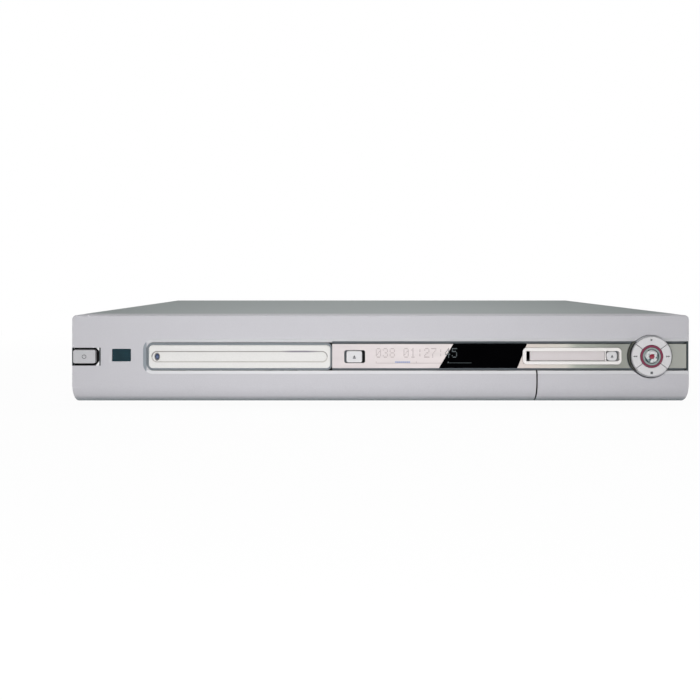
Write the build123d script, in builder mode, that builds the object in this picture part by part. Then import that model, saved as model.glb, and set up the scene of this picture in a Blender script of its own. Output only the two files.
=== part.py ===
"""A slim silver disc recorder: steel case, moulded faceplate, loading tray, boards and sockets.

Millimetres. +Z is up and the faceplate looks along -Y. The origin is on the floor, under the
middle of the whole object. Depths are measured back from the faceplate's front plane.
"""

import math
import os

from build123d import *

os.makedirs("parts", exist_ok=True)

# Case and faceplate
case_width = 435.0
face_height = 62.0
foot_drop = 4.0
face_depth = 24.0
face_wall = 2.5
face_roll = 14.0
face_corner = 3.0
face_edge = 1.2
cover_depth = 331.0
cover_set_in = 0.5
cover_set_down = 0.1
cover_gap = 0.4
cover_flange = 8.0
cover_bend = 0.8
vent_rows = 2
vent_count = 12
vent_front = 120.0
vent_pitch = 8.0
vent_width = 3.0
vent_height = 10.0
vent_low = 36.0
vent_row_pitch = 14.0
sheet = 1.0
sheet_gap = 0.1
base_front = 19.5
base_lip = 4.0
base_side_lip = 16.0
standoff = 6.0
standoff_radius = 3.0
moving_gap = 0.3
running_gap = 0.06

# Feet
foot_radius = 15.0
foot_inset = 34.0
foot_front = 52.0
foot_pad_radius = 10.0
foot_pad_height = 1.6
foot_pad_seat = 1.0
foot_taper = 12.0

# The band across the front that holds the tray's door and the display strip
band_low = 22.9
band_height = 20.7
band_bevel = 2.4
band_bevel_depth = 1.2
tray_opening_drop = 0.75
strip_after_door = 1.3
strip_set_back = 0.4
strip_thickness = 3.6
strip_gap = 1.85
strip_end_gap = 2.1
web = 2.0

# The tray's door
door_left = 54.3
door_width = 127.8
door_gap = 1.85
door_proud = 0.5
door_thickness = 3.5
door_corner = 2.8
door_groove_height = 7.3
door_groove_inset = 2.2
door_groove_depth = 0.7
lens_width = 2.8
lens_height = 4.2
lens_proud = 0.2
lens_seat = 1.2
door_edge = 0.8

# Buttons, switches and the boards behind the faceplate
key_travel = 0.7
key_play = 0.15
key_drop = 0.4
stem_radius = 1.6
clip_radius = 2.6
clip_thickness = 0.8
board_depth = 16.0
board = 1.6
board_post_radius = 2.2
board_posts_from_right = [157.5, 87.5, 14.5]
post_drop = 10.0
post_inset = 10.1
post_rise = 3.9
switch_size = 5.6
key_corner = 1.4
key_edge = 0.5
eject_corner = 1.5
media_key_corner = 2.2
switch_height = 3.5
plunger_radius = 1.7
plunger_height = 0.9
standby_left = 0.7
standby_width = 15.8
standby_height = 9.6
standby_recess = 20.4
standby_recess_height = 12.6
standby_thickness = 3.6
standby_set_back = 0.3
badge_left = 28.4
badge_width = 13.3
badge_height = 8.9
badge_rise = 0.7
badge_corner = 0.7
receiver_size = 6.0
receiver_depth = 5.0
eject_after_door = 11.4
eject_width = 11.0
eject_height = 8.1
eject_proud = 0.3
eject_recess_left = 1.6
eject_recess_right = 2.1
eject_recess_rise = 0.5

# Display behind the strip
window_from_right = 176.4
window_foot_width = 55.1
window_lean_left = 10.3
window_lean_right = 7.0
window_gap = 0.1
display_after_eject = 5.2
display_before_slot = 6.4
display_height = 12.6
display_depth = 9.4
display_rim = 1.6

# Card slot
slot_from_right = 114.9
slot_width = 55.4
slot_height = 7.2
bezel_rim = 2.3
bezel_rim_left = 2.5
bezel_rim_right = 1.6
bezel_proud = 0.4
bezel_corner = 3.0
shutter_left = 2.8
shutter_thickness = 1.2
shutter_set_back = 1.3
shutter_pin_radius = 0.5
shutter_pin_reach = 1.3
shutter_barrel_radius = 0.9
hinge_pocket = 1.3
hinge_gap = 0.2
slot_divider = 0.8
media_key_width = 7.1
media_key_height = 6.6
media_key_gap = 1.6
card_width = 54.0
card_thickness = 5.0
card_play = 0.3
card_wall = 1.4
card_cage_front = 14.5
card_cage_length = 88.0
card_drop = 0.6
card_leg = 4.0
card_leg_front = 52.0

# Dial with four keys round the record button
dial_from_right = 27.4
dial_drop = 0.0
dial_stand = 3.0
dial_gap_left = 1.6
rim_outer = 14.6
rim_wall = 0.6
rim_play = 0.35
rim_set_back = 0.6
key_ring_outer = 13.75
key_ring_inner = 8.15
key_ring_gap = 0.4
key_stand = 2.3
key_thickness = 4.0
key_split_angle = 38.0
light_outer = 7.9
light_inner = 6.5
light_stand = 2.5
hub_inner = 5.1
hub_outer = 6.4
record_radius = 4.8
record_edge = 1.6
cup_floor_depth = 3.2
cup_floor = 1.2
cup_flange_radius = 16.4
cup_flange = 1.4

# Flap over the front sockets
flap_from_right = 107.8
flap_gap = 0.9
flap_pivot = 8.0
flap_pin_radius = 1.2
flap_pin_length = 2.6
flap_sweep_gap = 0.5
flap_roll_angle = 68.0
flap_notch_gap = 0.6
ear_radius = 2.5
ear_arm = 4.6
ear_thickness = 2.4
ear_gap = 0.4
ear_drop = 2.0
socket_panel_depth = 24.5
socket_panel_height = 19.5
socket_panel_thickness = 2.0

# Phono, round and small digital sockets, used at the front and the rear
phono_shell_radius = 4.15
phono_shell_wall = 0.4
phono_bore = 1.6
phono_shell_length = 8.0
phono_body = 10.0
phono_body_depth = 10.0
phono_insert = 3.0
din_radius = 5.0
din_bore = 4.1
din_depth = 7.5
din_pin = 0.5
dv_wall = 0.8
front_socket_rise = 21.0
front_socket_pitch = 17.0
front_socket_from_right = 88.0
dv_width = 7.0
dv_height = 4.6
front_socket_reach = 1.0

# Disc and tray
disc_radius = 60.0
disc_play = 0.5
disc_recess = 3.0
small_disc_radius = 40.0
small_disc_recess = 0.8
disc_thickness = 1.2
tray_half_width = 62.0
tray_bottom = 32.0
tray_thickness = 6.0
tray_rear = 172.0
tray_slot = 42.0
spindle_depth = 80.0

# Loader frame
loader_front = 9.0
loader_rear = 190.0
loader_floor_bottom = 12.0
loader_floor = 2.0
loader_wall = 4.0
loader_leg_radius = 4.0
loader_leg_inset = 16.0
loader_top = 41.0
rail_play = 0.2
rail_reach = 2.2
rail_thickness = 2.0
loader_window = 72.0
loader_window_front = 28.0
loader_window_rear = 92.0

# Tray drive
gear_module = 1.0
tray_gear_teeth = 24
pinion_teeth = 12
gear_play = 0.2
gear_addendum = 0.8
gear_dedendum = 1.2
flank_steps = 4
rack_front = 10.0
rack_rear = 168.0
rack_bottom = 28.0
mesh_gap = 0.12
drive_depth = 24.0
rack_offset = 48.0
rack_back = 3.4
gear_bottom = 27.2
gear_thickness = 3.6
gear_pin_radius = 1.5
gear_boss_radius = 3.2
pulley_bottom = 22.6
pulley_thickness = 3.6
pulley_radius = 11.0
motor_pulley_radius = 3.0
belt_thickness = 1.4
belt_height = 1.4
belt_gap = 0.12
belt_spacing = 31.0
motor_radius = 10.0
motor_height = 7.6
motor_shaft_radius = 1.0
motor_bore_depth = 5.0

# Optical unit
traverse_half_width = 34.0
traverse_front = 20.0
traverse_rear = 80.0
traverse_bottom = 22.0
traverse_plate = 2.0
traverse_top = 30.0
traverse_axis_z = 26.0
traverse_boss = 3.0
traverse_boss_half = 4.5
holder_thickness = 3.0
holder_half = 3.0
holder_gap = 1.0
window_half = 28.5
sled_motor_front = 12.0
hub_edge = 1.2
lens_seat_depth = 2.0
pivot_from_spindle = 70.0
traverse_pin_radius = 2.0
traverse_pin_reach = 4.4
spindle_motor_radius = 11.0
spindle_motor_height = 5.0
spindle_shaft_radius = 1.2
turntable_radius = 15.0
turntable_top = 36.0
turntable_thickness = 2.4
hub_radius = 7.3
hub_height = 2.4
lens_start = 24.0
sled_half_width = 18.0
sled_length = 16.0
sled_height = 6.0
guide_rod_radius = 1.5
guide_rod_spread = 15.0
guide_rod_rise = 3.8
guide_start = 13.0
guide_end = 74.0
pickup_lens_radius = 2.2
pickup_lens_rise = 1.2
screw_radius = 1.6
screw_spread = 24.0
nut_half = 3.0
nut_length = 10.0
clamp_bridge_thickness = 1.2
clamp_bridge_width = 44.0
clamp_hole_radius = 12.5
clamper_radius = 11.5
clamper_flange_radius = 15.0
clamper_flange = 2.0
clamper_recess = 8.0
clamper_rise = 0.3

# Rear panel and its sockets
rear_vent_radius = 17.5
rear_socket_reach = 9.0
scart_width = 46.0
scart_height = 15.0
scart_depth = 15.0
scart_from_right = 187.5
scart_pitch = 56.0
scart_wall = 1.6
scart_mouth_depth = 10.0
scart_proud = 1.5
scart_tongue = 1.6
scart_tongue_inset = 2.0
scart_screw_rise = 5.5
rear_phono_from_right = 81.5
rear_phono_pitch = 14.0
rear_row_gap = 4.0
tuner_from_right = 31.0
tuner_width = 28.0
tuner_length = 46.0
tuner_height = 22.0
aerial_radius = 4.8
aerial_bore = 2.4
inlet_from_left = 27.5
inlet_width = 20.0
inlet_height = 14.0
inlet_depth = 16.0
inlet_wall = 2.5
inlet_pin = 1.2

# Fan
fan_size = 40.0
fan_depth = 10.0
fan_bore = 18.5
fan_from_right = 247.5
fan_rise = 37.0
fan_hub = 10.0
fan_blades = 7
fan_blade = 1.2
fan_shaft_radius = 1.5
fan_strut = 2.0
fan_corner = 3.0
fan_pitch = 35.0
fan_screw_inset = 4.0
guard_wire = 1.2

# Boards inside the case
board_margin = 4.0
boards_after_loader = 10.0
board_split_from_left = 162.5
board_split_gap = 4.0
board_inset = 6.5
digital_from_tray = 77.15
digital_width = 118.0
digital_front = 92.0
digital_length = 98.0
chip_height = 1.8
heat_sink_size = 34.0
heat_sink_base = 2.0
heat_sink_height = 12.0
heat_sink_fins = 8
heat_sink_fin = 1.0
digital_chips = [(59.0, 49.0, 28.0), (98.0, 18.0, 14.0), (98.0, 78.0, 14.0), (22.0, 78.0, 12.0)]
main_chips = [(75.0, 35.0, 22.0), (145.0, 40.0, 16.0), (185.0, 25.0, 12.0)]
transformer_size = (38.0, 34.0, 26.0)
transformer_core = 14.0
transformer_from_left = 107.5
transformer_after = 22.0
power_sink_from_left = 57.5
power_sink_after = 24.0
capacitor_from_left = 57.5
capacitor_from_back = 30.0
capacitor_pitch = 22.0
capacitor_count = 3
capacitor_radius = 9.0
capacitor_height = 26.0

# Screws
screw_head_radius = 3.0
screw_head = 1.6
cover_screw_inset = 27.5

# Places that follow from the sizes above
half_width = case_width / 2
face_bottom = foot_drop
face_top = face_bottom + face_height
cover_top = face_top - cover_set_down
cover_half = half_width - cover_set_in
rear_plate_back = cover_depth - sheet - sheet_gap
total_depth = dial_stand + rear_plate_back + rear_socket_reach
face_y = dial_stand - total_depth / 2
base_bottom = face_bottom + face_wall
base_top = base_bottom + sheet
band_bottom = face_bottom + band_low
band_top = band_bottom + band_height
band_middle = (band_bottom + band_top) / 2
tray_opening_z = (band_bottom, band_top - tray_opening_drop)
strip_back = strip_set_back + strip_thickness
web_back = strip_back + web
door_start = door_left - half_width
door_end = door_start + door_width
strip_start = door_end + strip_after_door
tray_x = (door_start + door_end) / 2
tray_top = tray_bottom + tray_thickness
plunger_front = board_depth - switch_height - plunger_height
stem_end = plunger_front - key_travel - key_play
pivot_z = face_bottom + flap_pivot
flap_start = half_width - flap_from_right
dial_x = half_width - dial_from_right
slot_start = half_width - slot_from_right
slot_end = slot_start + slot_width
phono_places = [half_width - front_socket_from_right + n * front_socket_pitch for n in range(3)]
rear_columns = [half_width - rear_phono_from_right + n * rear_phono_pitch for n in range(3)]
scart_first = half_width - scart_from_right
scart_places = [scart_first, scart_first + scart_pitch]
tuner_centre = half_width - tuner_from_right
inlet_centre = -half_width + inlet_from_left
fan_centre = half_width - fan_from_right
traverse_pivot = spindle_depth + pivot_from_spindle
guide_front = spindle_depth + guide_start
guide_rear = spindle_depth + guide_end
rear_boards_front = loader_rear + boards_after_loader


def behind(depth):
    """The y of a point that lies this far behind the faceplate's front plane."""
    return face_y + depth


def span(first, last):
    """Two depths behind the front plane, as y values."""
    return (behind(first), behind(last))


def around(centre, size):
    """The two ends of a length about its middle."""
    return (centre - size / 2, centre + size / 2)


def middle(pair):
    return (pair[0] + pair[1]) / 2


def grow(pair, extra):
    """Two ends, each moved outward by a little."""
    return (pair[0] - extra, pair[1] + extra)


def block(x, y, z, mode=Mode.ADD):
    """A block between two values along each axis, in the part being built."""
    with Locations((middle(x), middle(y), middle(z))):
        Box(x[1] - x[0], y[1] - y[0], z[1] - z[0], mode=mode)


def post(x, y, z, radius, mode=Mode.ADD):
    """An upright cylinder between two heights."""
    with Locations((x, y, middle(z))):
        Cylinder(radius, z[1] - z[0], mode=mode)


def rod(x, y, z, radius, mode=Mode.ADD):
    """A cylinder that runs from front to back between two y values."""
    with Locations(Location((x, middle(y), z), (90, 0, 0))):
        Cylinder(radius, y[1] - y[0], mode=mode)


def axle(x, y, z, radius, mode=Mode.ADD):
    """A cylinder that runs from side to side between two x values."""
    with Locations(Location((middle(x), y, z), (0, 90, 0))):
        Cylinder(radius, x[1] - x[0], mode=mode)


def tile(x, y, z, corner, mode=Mode.ADD):
    """A tile that faces the front, with rounded corners, between two y values."""
    with BuildSketch(Plane.XZ.offset(-y[1])) as outline:
        with Locations((middle(x), middle(z))):
            RectangleRounded(x[1] - x[0], z[1] - z[0], corner)
    extrude(outline.sketch, amount=y[1] - y[0], mode=mode)


def side_plate(x, outline, mode=Mode.ADD):
    """Extrudes an outline drawn on the YZ plane between two x values."""
    extrude(outline.sketch.moved(Location((x[0], 0, 0))), amount=x[1] - x[0], mode=mode)


def save(piece, name):
    """Labels a finished piece and writes its file."""
    piece.part.label = name
    export_step(piece.part, f"parts/{name}.step")


def face_outline(inset, rear):
    """The faceplate seen from the side: flat front, rolled lower edge, open back."""
    front = behind(inset)
    low = face_bottom + inset
    high = face_top - inset
    roll_centre = (behind(face_roll), face_bottom + face_roll)
    with BuildSketch(Plane.YZ) as outline:
        with BuildLine():
            roll = CenterArc(roll_centre, face_roll - inset, 180, 90)
            Polyline(roll @ 1, (rear, low), (rear, high), (front, high), roll @ 0)
        make_face()
    return outline


def flap_sweep_radius():
    """How far the flap's lower edge lies from its pivot."""
    angle = math.radians(180 + flap_roll_angle)
    back = face_roll + face_roll * math.cos(angle) - flap_pivot
    down = face_roll + face_roll * math.sin(angle) - flap_pivot
    return math.hypot(back, down)


def flap_region(gap):
    """What the flap takes up, seen from the side, closed and as it turns about its pivot."""
    with BuildSketch(Plane.YZ) as region:
        with Locations((behind((flap_pivot + gap - face_depth) / 2), middle((pivot_z, band_bottom)))):
            Rectangle(flap_pivot + gap + face_depth, band_bottom - pivot_z)
        with Locations((behind((flap_pivot - face_depth) / 2), middle((-foot_drop, pivot_z)))):
            Rectangle(flap_pivot + face_depth, pivot_z + foot_drop)
        with Locations((behind(flap_pivot), pivot_z)):
            Circle(flap_sweep_radius() + gap)
    return region


def cut_band_bevel():
    """Cuts the sloping edge round the tray's opening and along the strip, out through the right side."""
    right = half_width + face_depth
    tray_slope, strip_slope = [], []
    for depth, extra in ((-band_bevel_depth, 2 * band_bevel), (band_bevel_depth, 0)):
        left = door_start - door_gap - extra
        low, high = grow(tray_opening_z, extra)
        with BuildSketch(Plane.XZ.offset(-behind(depth))) as tray_edge:
            with Locations((middle((left, right)), middle((low, high)))):
                RectangleRounded(right - left, high - low, door_corner + door_gap + extra)
        tray_slope.append(tray_edge.sketch)
        low, high = band_bottom - extra, band_top + extra
        with BuildSketch(Plane.XZ.offset(-behind(depth))) as strip_edge:
            with Locations((middle((strip_start, right)), middle((low, high)))):
                Rectangle(right - strip_start, high - low)
        strip_slope.append(strip_edge.sketch)
    loft(sections=tray_slope, ruled=True, mode=Mode.SUBTRACT)
    loft(sections=strip_slope, ruled=True, mode=Mode.SUBTRACT)


def button_stem(x, z, back):
    """The stem behind a button, with the clip that keeps it in its hole."""
    rod(x, span(back, stem_end), z, stem_radius)
    clip = max(back, web_back + moving_gap)
    rod(x, span(clip, clip + clip_thickness), z, clip_radius)


# The block that both the faceplate and its flap are cut from
with BuildPart() as face_block:
    extrude(face_outline(0, behind(face_depth)).sketch, amount=half_width, both=True)
    fillet(face_block.edges().filter_by(Axis.Y).group_by(Axis.Z)[-1], face_corner)
    front_rim = face_block.faces().filter_by(Axis.Y).sort_by(Axis.Y)[0].edges().sort_by(Axis.Z)[1:]
    fillet(front_rim, face_edge)

# Faceplate
standby_x = (-half_width + standby_left, -half_width + standby_left + standby_width)
standby_z = around(band_middle - key_drop, standby_height)
standby_recess_z = around(band_middle - key_drop, standby_recess_height)
standby_floor = standby_set_back + standby_thickness + key_travel + key_play
badge_x = (-half_width + badge_left, -half_width + badge_left + badge_width)
badge_z = around(band_middle + badge_rise, badge_height)
eject_x = (door_end + eject_after_door, door_end + eject_after_door + eject_width)
eject_z = around(band_middle - key_drop, eject_height)
eject_middle = middle(eject_x)
display_x = (eject_x[1] + display_after_eject, slot_start - display_before_slot)
display_z = around(band_middle, display_height)
slot_x = (slot_start, slot_end)
slot_z = around(band_middle, slot_height)
media_key_start = slot_end + slot_divider + 2 * moving_gap
media_key_x = (media_key_start, media_key_start + media_key_width)
media_key_z = around(band_middle, media_key_height)
dial_z = band_middle - dial_drop
board_posts_high = [eject_middle] + [half_width - place for place in board_posts_from_right]
board_post_top = face_top - post_drop
board_post_low = (strip_start + post_inset, band_bottom + post_rise)
left_post_x = badge_x[0] - 2 * board_post_radius
left_posts = [(left_post_x, badge_z[0]), (left_post_x, badge_z[1] + board_post_radius)]
with BuildPart() as front_panel:
    add(face_block.part)
    hollow = face_outline(face_wall, behind(face_depth + sheet))
    extrude(hollow.sketch, amount=half_width - face_wall, both=True, mode=Mode.SUBTRACT)
    inner_half = half_width - sheet
    block((strip_start, inner_half), span(sheet, web_back), (band_bottom - web, band_top + web))
    shelf_x = (-inner_half, -half_width + standby_recess + web)
    shelf_z = (standby_recess_z[0] - web, standby_recess_z[1] + web)
    block(shelf_x, span(sheet, standby_floor + web), shelf_z)
    for x in board_posts_high:
        rod(x, span(sheet, board_depth), board_post_top, board_post_radius)
    rod(board_post_low[0], span(strip_back, board_depth), board_post_low[1], board_post_radius)
    for x, z in left_posts:
        rod(x, span(sheet, board_depth), z, board_post_radius)
    tray_hole = (door_start - door_gap, strip_start + door_corner + door_gap)
    tile(tray_hole, span(-1, strip_back), tray_opening_z, door_corner + door_gap, Mode.SUBTRACT)
    block((strip_start, half_width + 1), span(-1, strip_back), (band_bottom, band_top), Mode.SUBTRACT)
    cut_band_bevel()
    standby_hole = (-half_width - 1, -half_width + standby_recess)
    block(standby_hole, span(-1, standby_floor), standby_recess_z, Mode.SUBTRACT)
    tile(badge_x, span(-1, face_wall + 1), badge_z, badge_corner, Mode.SUBTRACT)
    block(grow(display_x, -sheet), span(sheet, web_back + 1), grow(display_z, -sheet), Mode.SUBTRACT)
    block(slot_x, span(sheet, web_back + 1), (slot_z[0], slot_z[1] + hinge_pocket), Mode.SUBTRACT)
    stem_hole = stem_radius + moving_gap
    rod(middle(standby_x), span(0, web_back + web), middle(standby_z), stem_hole, Mode.SUBTRACT)
    rod(eject_middle, span(sheet, web_back + 1), band_middle, stem_hole, Mode.SUBTRACT)
    rod(middle(media_key_x), span(sheet, web_back + 1), band_middle, stem_hole, Mode.SUBTRACT)
    side_plate((flap_start, half_width + 1), flap_region(flap_sweep_gap), Mode.SUBTRACT)
    rod(dial_x, span(-1, face_depth), dial_z, rim_outer + rim_play, Mode.SUBTRACT)
save(front_panel, "front_panel")

# Flap, hinged on two short pins near its lower edge
flap_x = (flap_start + flap_gap, half_width)
with BuildPart() as front_flap:
    add(face_block.part)
    side_plate(flap_x, flap_region(0), Mode.INTERSECT)
    flap_hollow = face_outline(face_wall, behind(face_depth + sheet))
    side_plate(grow(flap_x, -face_wall), flap_hollow, Mode.SUBTRACT)
    cut_band_bevel()
    rod(dial_x, span(-1, face_depth), dial_z, rim_outer + rim_play + flap_notch_gap, Mode.SUBTRACT)
    for pin in ((flap_x[0] + sheet, flap_x[0] + face_wall + flap_pin_length),
                (flap_x[1] - face_wall - flap_pin_length, flap_x[1] - sheet)):
        axle(pin, behind(flap_pivot), pivot_z, flap_pin_radius)
save(front_flap, "front_flap")

# Panel behind the flap, with an ear at each end for the flap's pins
ear_x = [(flap_x[0] + face_wall + ear_gap, flap_x[0] + face_wall + ear_gap + ear_thickness),
         (flap_x[1] - face_wall - ear_gap - ear_thickness, flap_x[1] - face_wall - ear_gap)]
socket_panel_back = socket_panel_depth + socket_panel_thickness
socket_z = front_socket_rise
din_x = phono_places[2] + front_socket_pitch
dv_x = din_x + front_socket_pitch
with BuildPart() as socket_panel:
    panel_x = (ear_x[0][0], ear_x[1][1])
    panel_z = (base_top, base_top + socket_panel_height)
    block(panel_x, span(socket_panel_depth, socket_panel_back), panel_z)
    ear_top = panel_z[1] - ear_drop
    arm_y = (behind(flap_pivot) - ear_arm / 2, behind(socket_panel_depth) + sheet)
    with BuildSketch(Plane.YZ) as ear:
        with Locations((behind(flap_pivot), pivot_z)):
            Circle(ear_radius)
        with Locations((behind(flap_pivot), middle((pivot_z, ear_top)))):
            Rectangle(ear_arm, ear_top - pivot_z)
        with Locations((middle(arm_y), ear_top - ear_arm / 2)):
            Rectangle(arm_y[1] - arm_y[0], ear_arm)
    for x in ear_x:
        side_plate(x, ear)
    axle(panel_x, behind(flap_pivot), pivot_z, flap_pin_radius + running_gap, Mode.SUBTRACT)
    panel_cut = span(socket_panel_depth - 1, socket_panel_back + 1)
    for x in phono_places:
        rod(x, panel_cut, socket_z, phono_shell_radius + moving_gap, Mode.SUBTRACT)
    rod(din_x, panel_cut, socket_z, din_radius + moving_gap, Mode.SUBTRACT)
    block(around(dv_x, dv_width + 2 * moving_gap), panel_cut,
          around(socket_z, dv_height + 2 * moving_gap), Mode.SUBTRACT)
save(socket_panel, "socket_panel")


# Strip over the display, the window in it and the display behind it
strip_z = (band_bottom + strip_gap, band_top - strip_gap)
strip_depths = span(strip_set_back, strip_back)
bezel_x = (slot_start - bezel_rim_left, media_key_x[1] + media_key_gap + bezel_rim_right)
bezel_z = grow(slot_z, bezel_rim)
eject_hole_x = (eject_x[0] - eject_recess_left, eject_x[1] + eject_recess_right)


def window_prism(extra, mode):
    """The leaning window in the strip, seen from the front."""
    left = half_width - window_from_right - extra
    right = left + window_foot_width + 2 * extra
    low, high = grow(strip_z, extra)
    with BuildSketch(Plane.XZ.offset(-strip_depths[1])) as window:
        with BuildLine():
            Polyline((left, low), (right, low), (right + window_lean_right, high),
                     (left + window_lean_left, high), close=True)
        make_face()
    extrude(window.sketch, amount=strip_thickness, mode=mode)


with BuildPart() as trim_band:
    block((strip_start, half_width - strip_end_gap), strip_depths, strip_z)
    window_prism(window_gap, Mode.SUBTRACT)
    tile(eject_hole_x, span(-1, web_back), grow(eject_z, eject_recess_rise), eject_corner, Mode.SUBTRACT)
    tile(grow(bezel_x, window_gap), span(-1, web_back), grow(bezel_z, window_gap), bezel_corner, Mode.SUBTRACT)
    rod(dial_x - dial_gap_left / 2, span(-1, web_back), dial_z, rim_outer + rim_play + dial_gap_left / 2,
        Mode.SUBTRACT)
save(trim_band, "trim_band")

with BuildPart() as display_window:
    window_prism(0, Mode.ADD)
    tile(grow(bezel_x, window_gap), span(-1, web_back), grow(bezel_z, window_gap), bezel_corner, Mode.SUBTRACT)
save(display_window, "display_window")

with BuildPart() as display_module:
    display_front = board_depth - display_depth
    block(display_x, span(display_front, board_depth), display_z)
    glass_edge = (display_x[0] + display_rim, display_x[1] - display_rim)
    glass_z = grow(display_z, -display_rim)
    block(glass_edge, span(display_front - 1, display_front + display_rim / 2), glass_z, Mode.SUBTRACT)
save(display_module, "display_module")

# Standby, eject and card eject buttons
with BuildPart() as standby_button:
    standby_back = standby_set_back + standby_thickness
    tile(standby_x, span(standby_set_back, standby_back), standby_z, key_corner)
    fillet(standby_button.faces().sort_by(Axis.Y)[0].edges(), key_edge)
    rod(middle(standby_x), span(standby_back - sheet, stem_end), middle(standby_z), stem_radius)
    standby_clip = standby_floor + web + moving_gap
    rod(middle(standby_x), span(standby_clip, standby_clip + clip_thickness), middle(standby_z), clip_radius)
save(standby_button, "standby_button")

with BuildPart() as eject_button:
    eject_back = strip_back - key_travel - key_play
    tile(eject_x, span(-eject_proud, eject_back), eject_z, key_corner)
    fillet(eject_button.faces().sort_by(Axis.Y)[0].edges(), key_edge)
    button_stem(eject_middle, band_middle, eject_back - sheet)
save(eject_button, "eject_button")

with BuildPart() as media_eject_button:
    tile(media_key_x, span(-eject_proud, eject_back), media_key_z, media_key_corner)
    fillet(media_eject_button.faces().sort_by(Axis.Y)[0].edges(), key_edge)
    button_stem(middle(media_key_x), band_middle, eject_back - sheet)
save(media_eject_button, "media_eject_button")

# Card slot: its bezel, its sprung shutter and the cage behind it
divider_x = (slot_end + moving_gap, slot_end + moving_gap + slot_divider)
shutter_x = (slot_start + shutter_left, slot_end)
shutter_axis = shutter_set_back + shutter_barrel_radius
shutter_axis_z = slot_z[1] + hinge_pocket - shutter_barrel_radius - hinge_gap
shutter_pins = (slot_start - shutter_pin_reach, slot_end + moving_gap + slot_divider / 2)
with BuildPart() as media_bezel:
    tile(bezel_x, span(-bezel_proud, strip_back), bezel_z, bezel_corner)
    fillet(media_bezel.faces().sort_by(Axis.Y)[0].edges(), bezel_proud)
    block((slot_start, divider_x[0]), span(-1, web_back), slot_z, Mode.SUBTRACT)
    pocket_z = (slot_z[1] - sheet, slot_z[1] + hinge_pocket)
    block((slot_start, divider_x[0]), span(shutter_set_back - moving_gap, web_back), pocket_z, Mode.SUBTRACT)
    block(grow(divider_x, sheet), span(-1, shutter_set_back), slot_z, Mode.SUBTRACT)
    key_hole = (divider_x[1], media_key_x[1] + media_key_gap)
    tile(key_hole, span(-1, web_back), slot_z, key_corner, Mode.SUBTRACT)
    axle(grow(shutter_pins, running_gap), behind(shutter_axis), shutter_axis_z,
         shutter_pin_radius + running_gap, Mode.SUBTRACT)
save(media_bezel, "media_bezel")

with BuildPart() as media_door:
    shutter_z = (slot_z[0] + moving_gap, shutter_axis_z)
    shutter_depths = span(shutter_set_back, shutter_set_back + shutter_thickness)
    block(shutter_x, shutter_depths, shutter_z)
    axle(shutter_x, behind(shutter_axis), shutter_axis_z, shutter_barrel_radius)
    axle(shutter_pins, behind(shutter_axis), shutter_axis_z, shutter_pin_radius)
save(media_door, "media_door")

card_x = around(middle(slot_x), card_width + 2 * card_play)
card_z = around(band_middle - card_drop, card_thickness + 2 * card_play)
cage_x = grow(card_x, card_wall)
cage_z = grow(card_z, card_wall)
cage_depths = span(card_cage_front, card_cage_front + card_cage_length)
with BuildPart() as card_cage:
    block(cage_x, cage_depths, cage_z)
    block(card_x, (cage_depths[0] - 1, cage_depths[1] - card_wall), card_z, Mode.SUBTRACT)
    for x in (cage_x[0] + card_leg, cage_x[1] - card_leg):
        for depth in (card_leg_front, card_cage_front + card_cage_length - card_leg):
            block(around(x, card_leg), around(behind(depth), card_leg), (base_top, card_z[0] - sheet / 2))
save(card_cage, "card_cage")

# Dial: a cup with four keys, a light ring and the record button in the middle
cup_back = cup_floor_depth + cup_floor
key_middle = (key_ring_inner + key_ring_outer) / 2
key_back = key_thickness - key_stand
key_names = ["right", "up", "left", "down"]
with BuildPart() as dial_cup:
    rod(dial_x, span(-key_stand + rim_set_back, web_back + cup_flange), dial_z, rim_outer)
    rod(dial_x, span(web_back, web_back + cup_flange), dial_z, cup_flange_radius)
    rod(dial_x, span(-dial_stand, cup_floor_depth), dial_z, rim_outer - rim_wall, Mode.SUBTRACT)
    rod(dial_x, span(cup_back, face_depth), dial_z, rim_outer - rim_wall, Mode.SUBTRACT)
    rod(dial_x, span(-light_stand, cup_back), dial_z, hub_outer)
    rod(dial_x, span(-dial_stand, cup_floor_depth), dial_z, hub_inner, Mode.SUBTRACT)
    rod(dial_x, span(0, cup_back + 1), dial_z, stem_radius + moving_gap, Mode.SUBTRACT)
    for number in range(4):
        angle = math.radians(90 * number)
        stem_x = dial_x + key_middle * math.cos(angle)
        stem_z = dial_z + key_middle * math.sin(angle)
        rod(stem_x, span(0, cup_back + 1), stem_z, stem_radius + moving_gap, Mode.SUBTRACT)
save(dial_cup, "dial_cup")

with BuildPart() as record_light_ring:
    rod(dial_x, span(-light_stand, cup_floor_depth), dial_z, light_outer)
    rod(dial_x, span(-dial_stand, cup_back), dial_z, light_inner, Mode.SUBTRACT)
save(record_light_ring, "record_light_ring")

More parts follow.
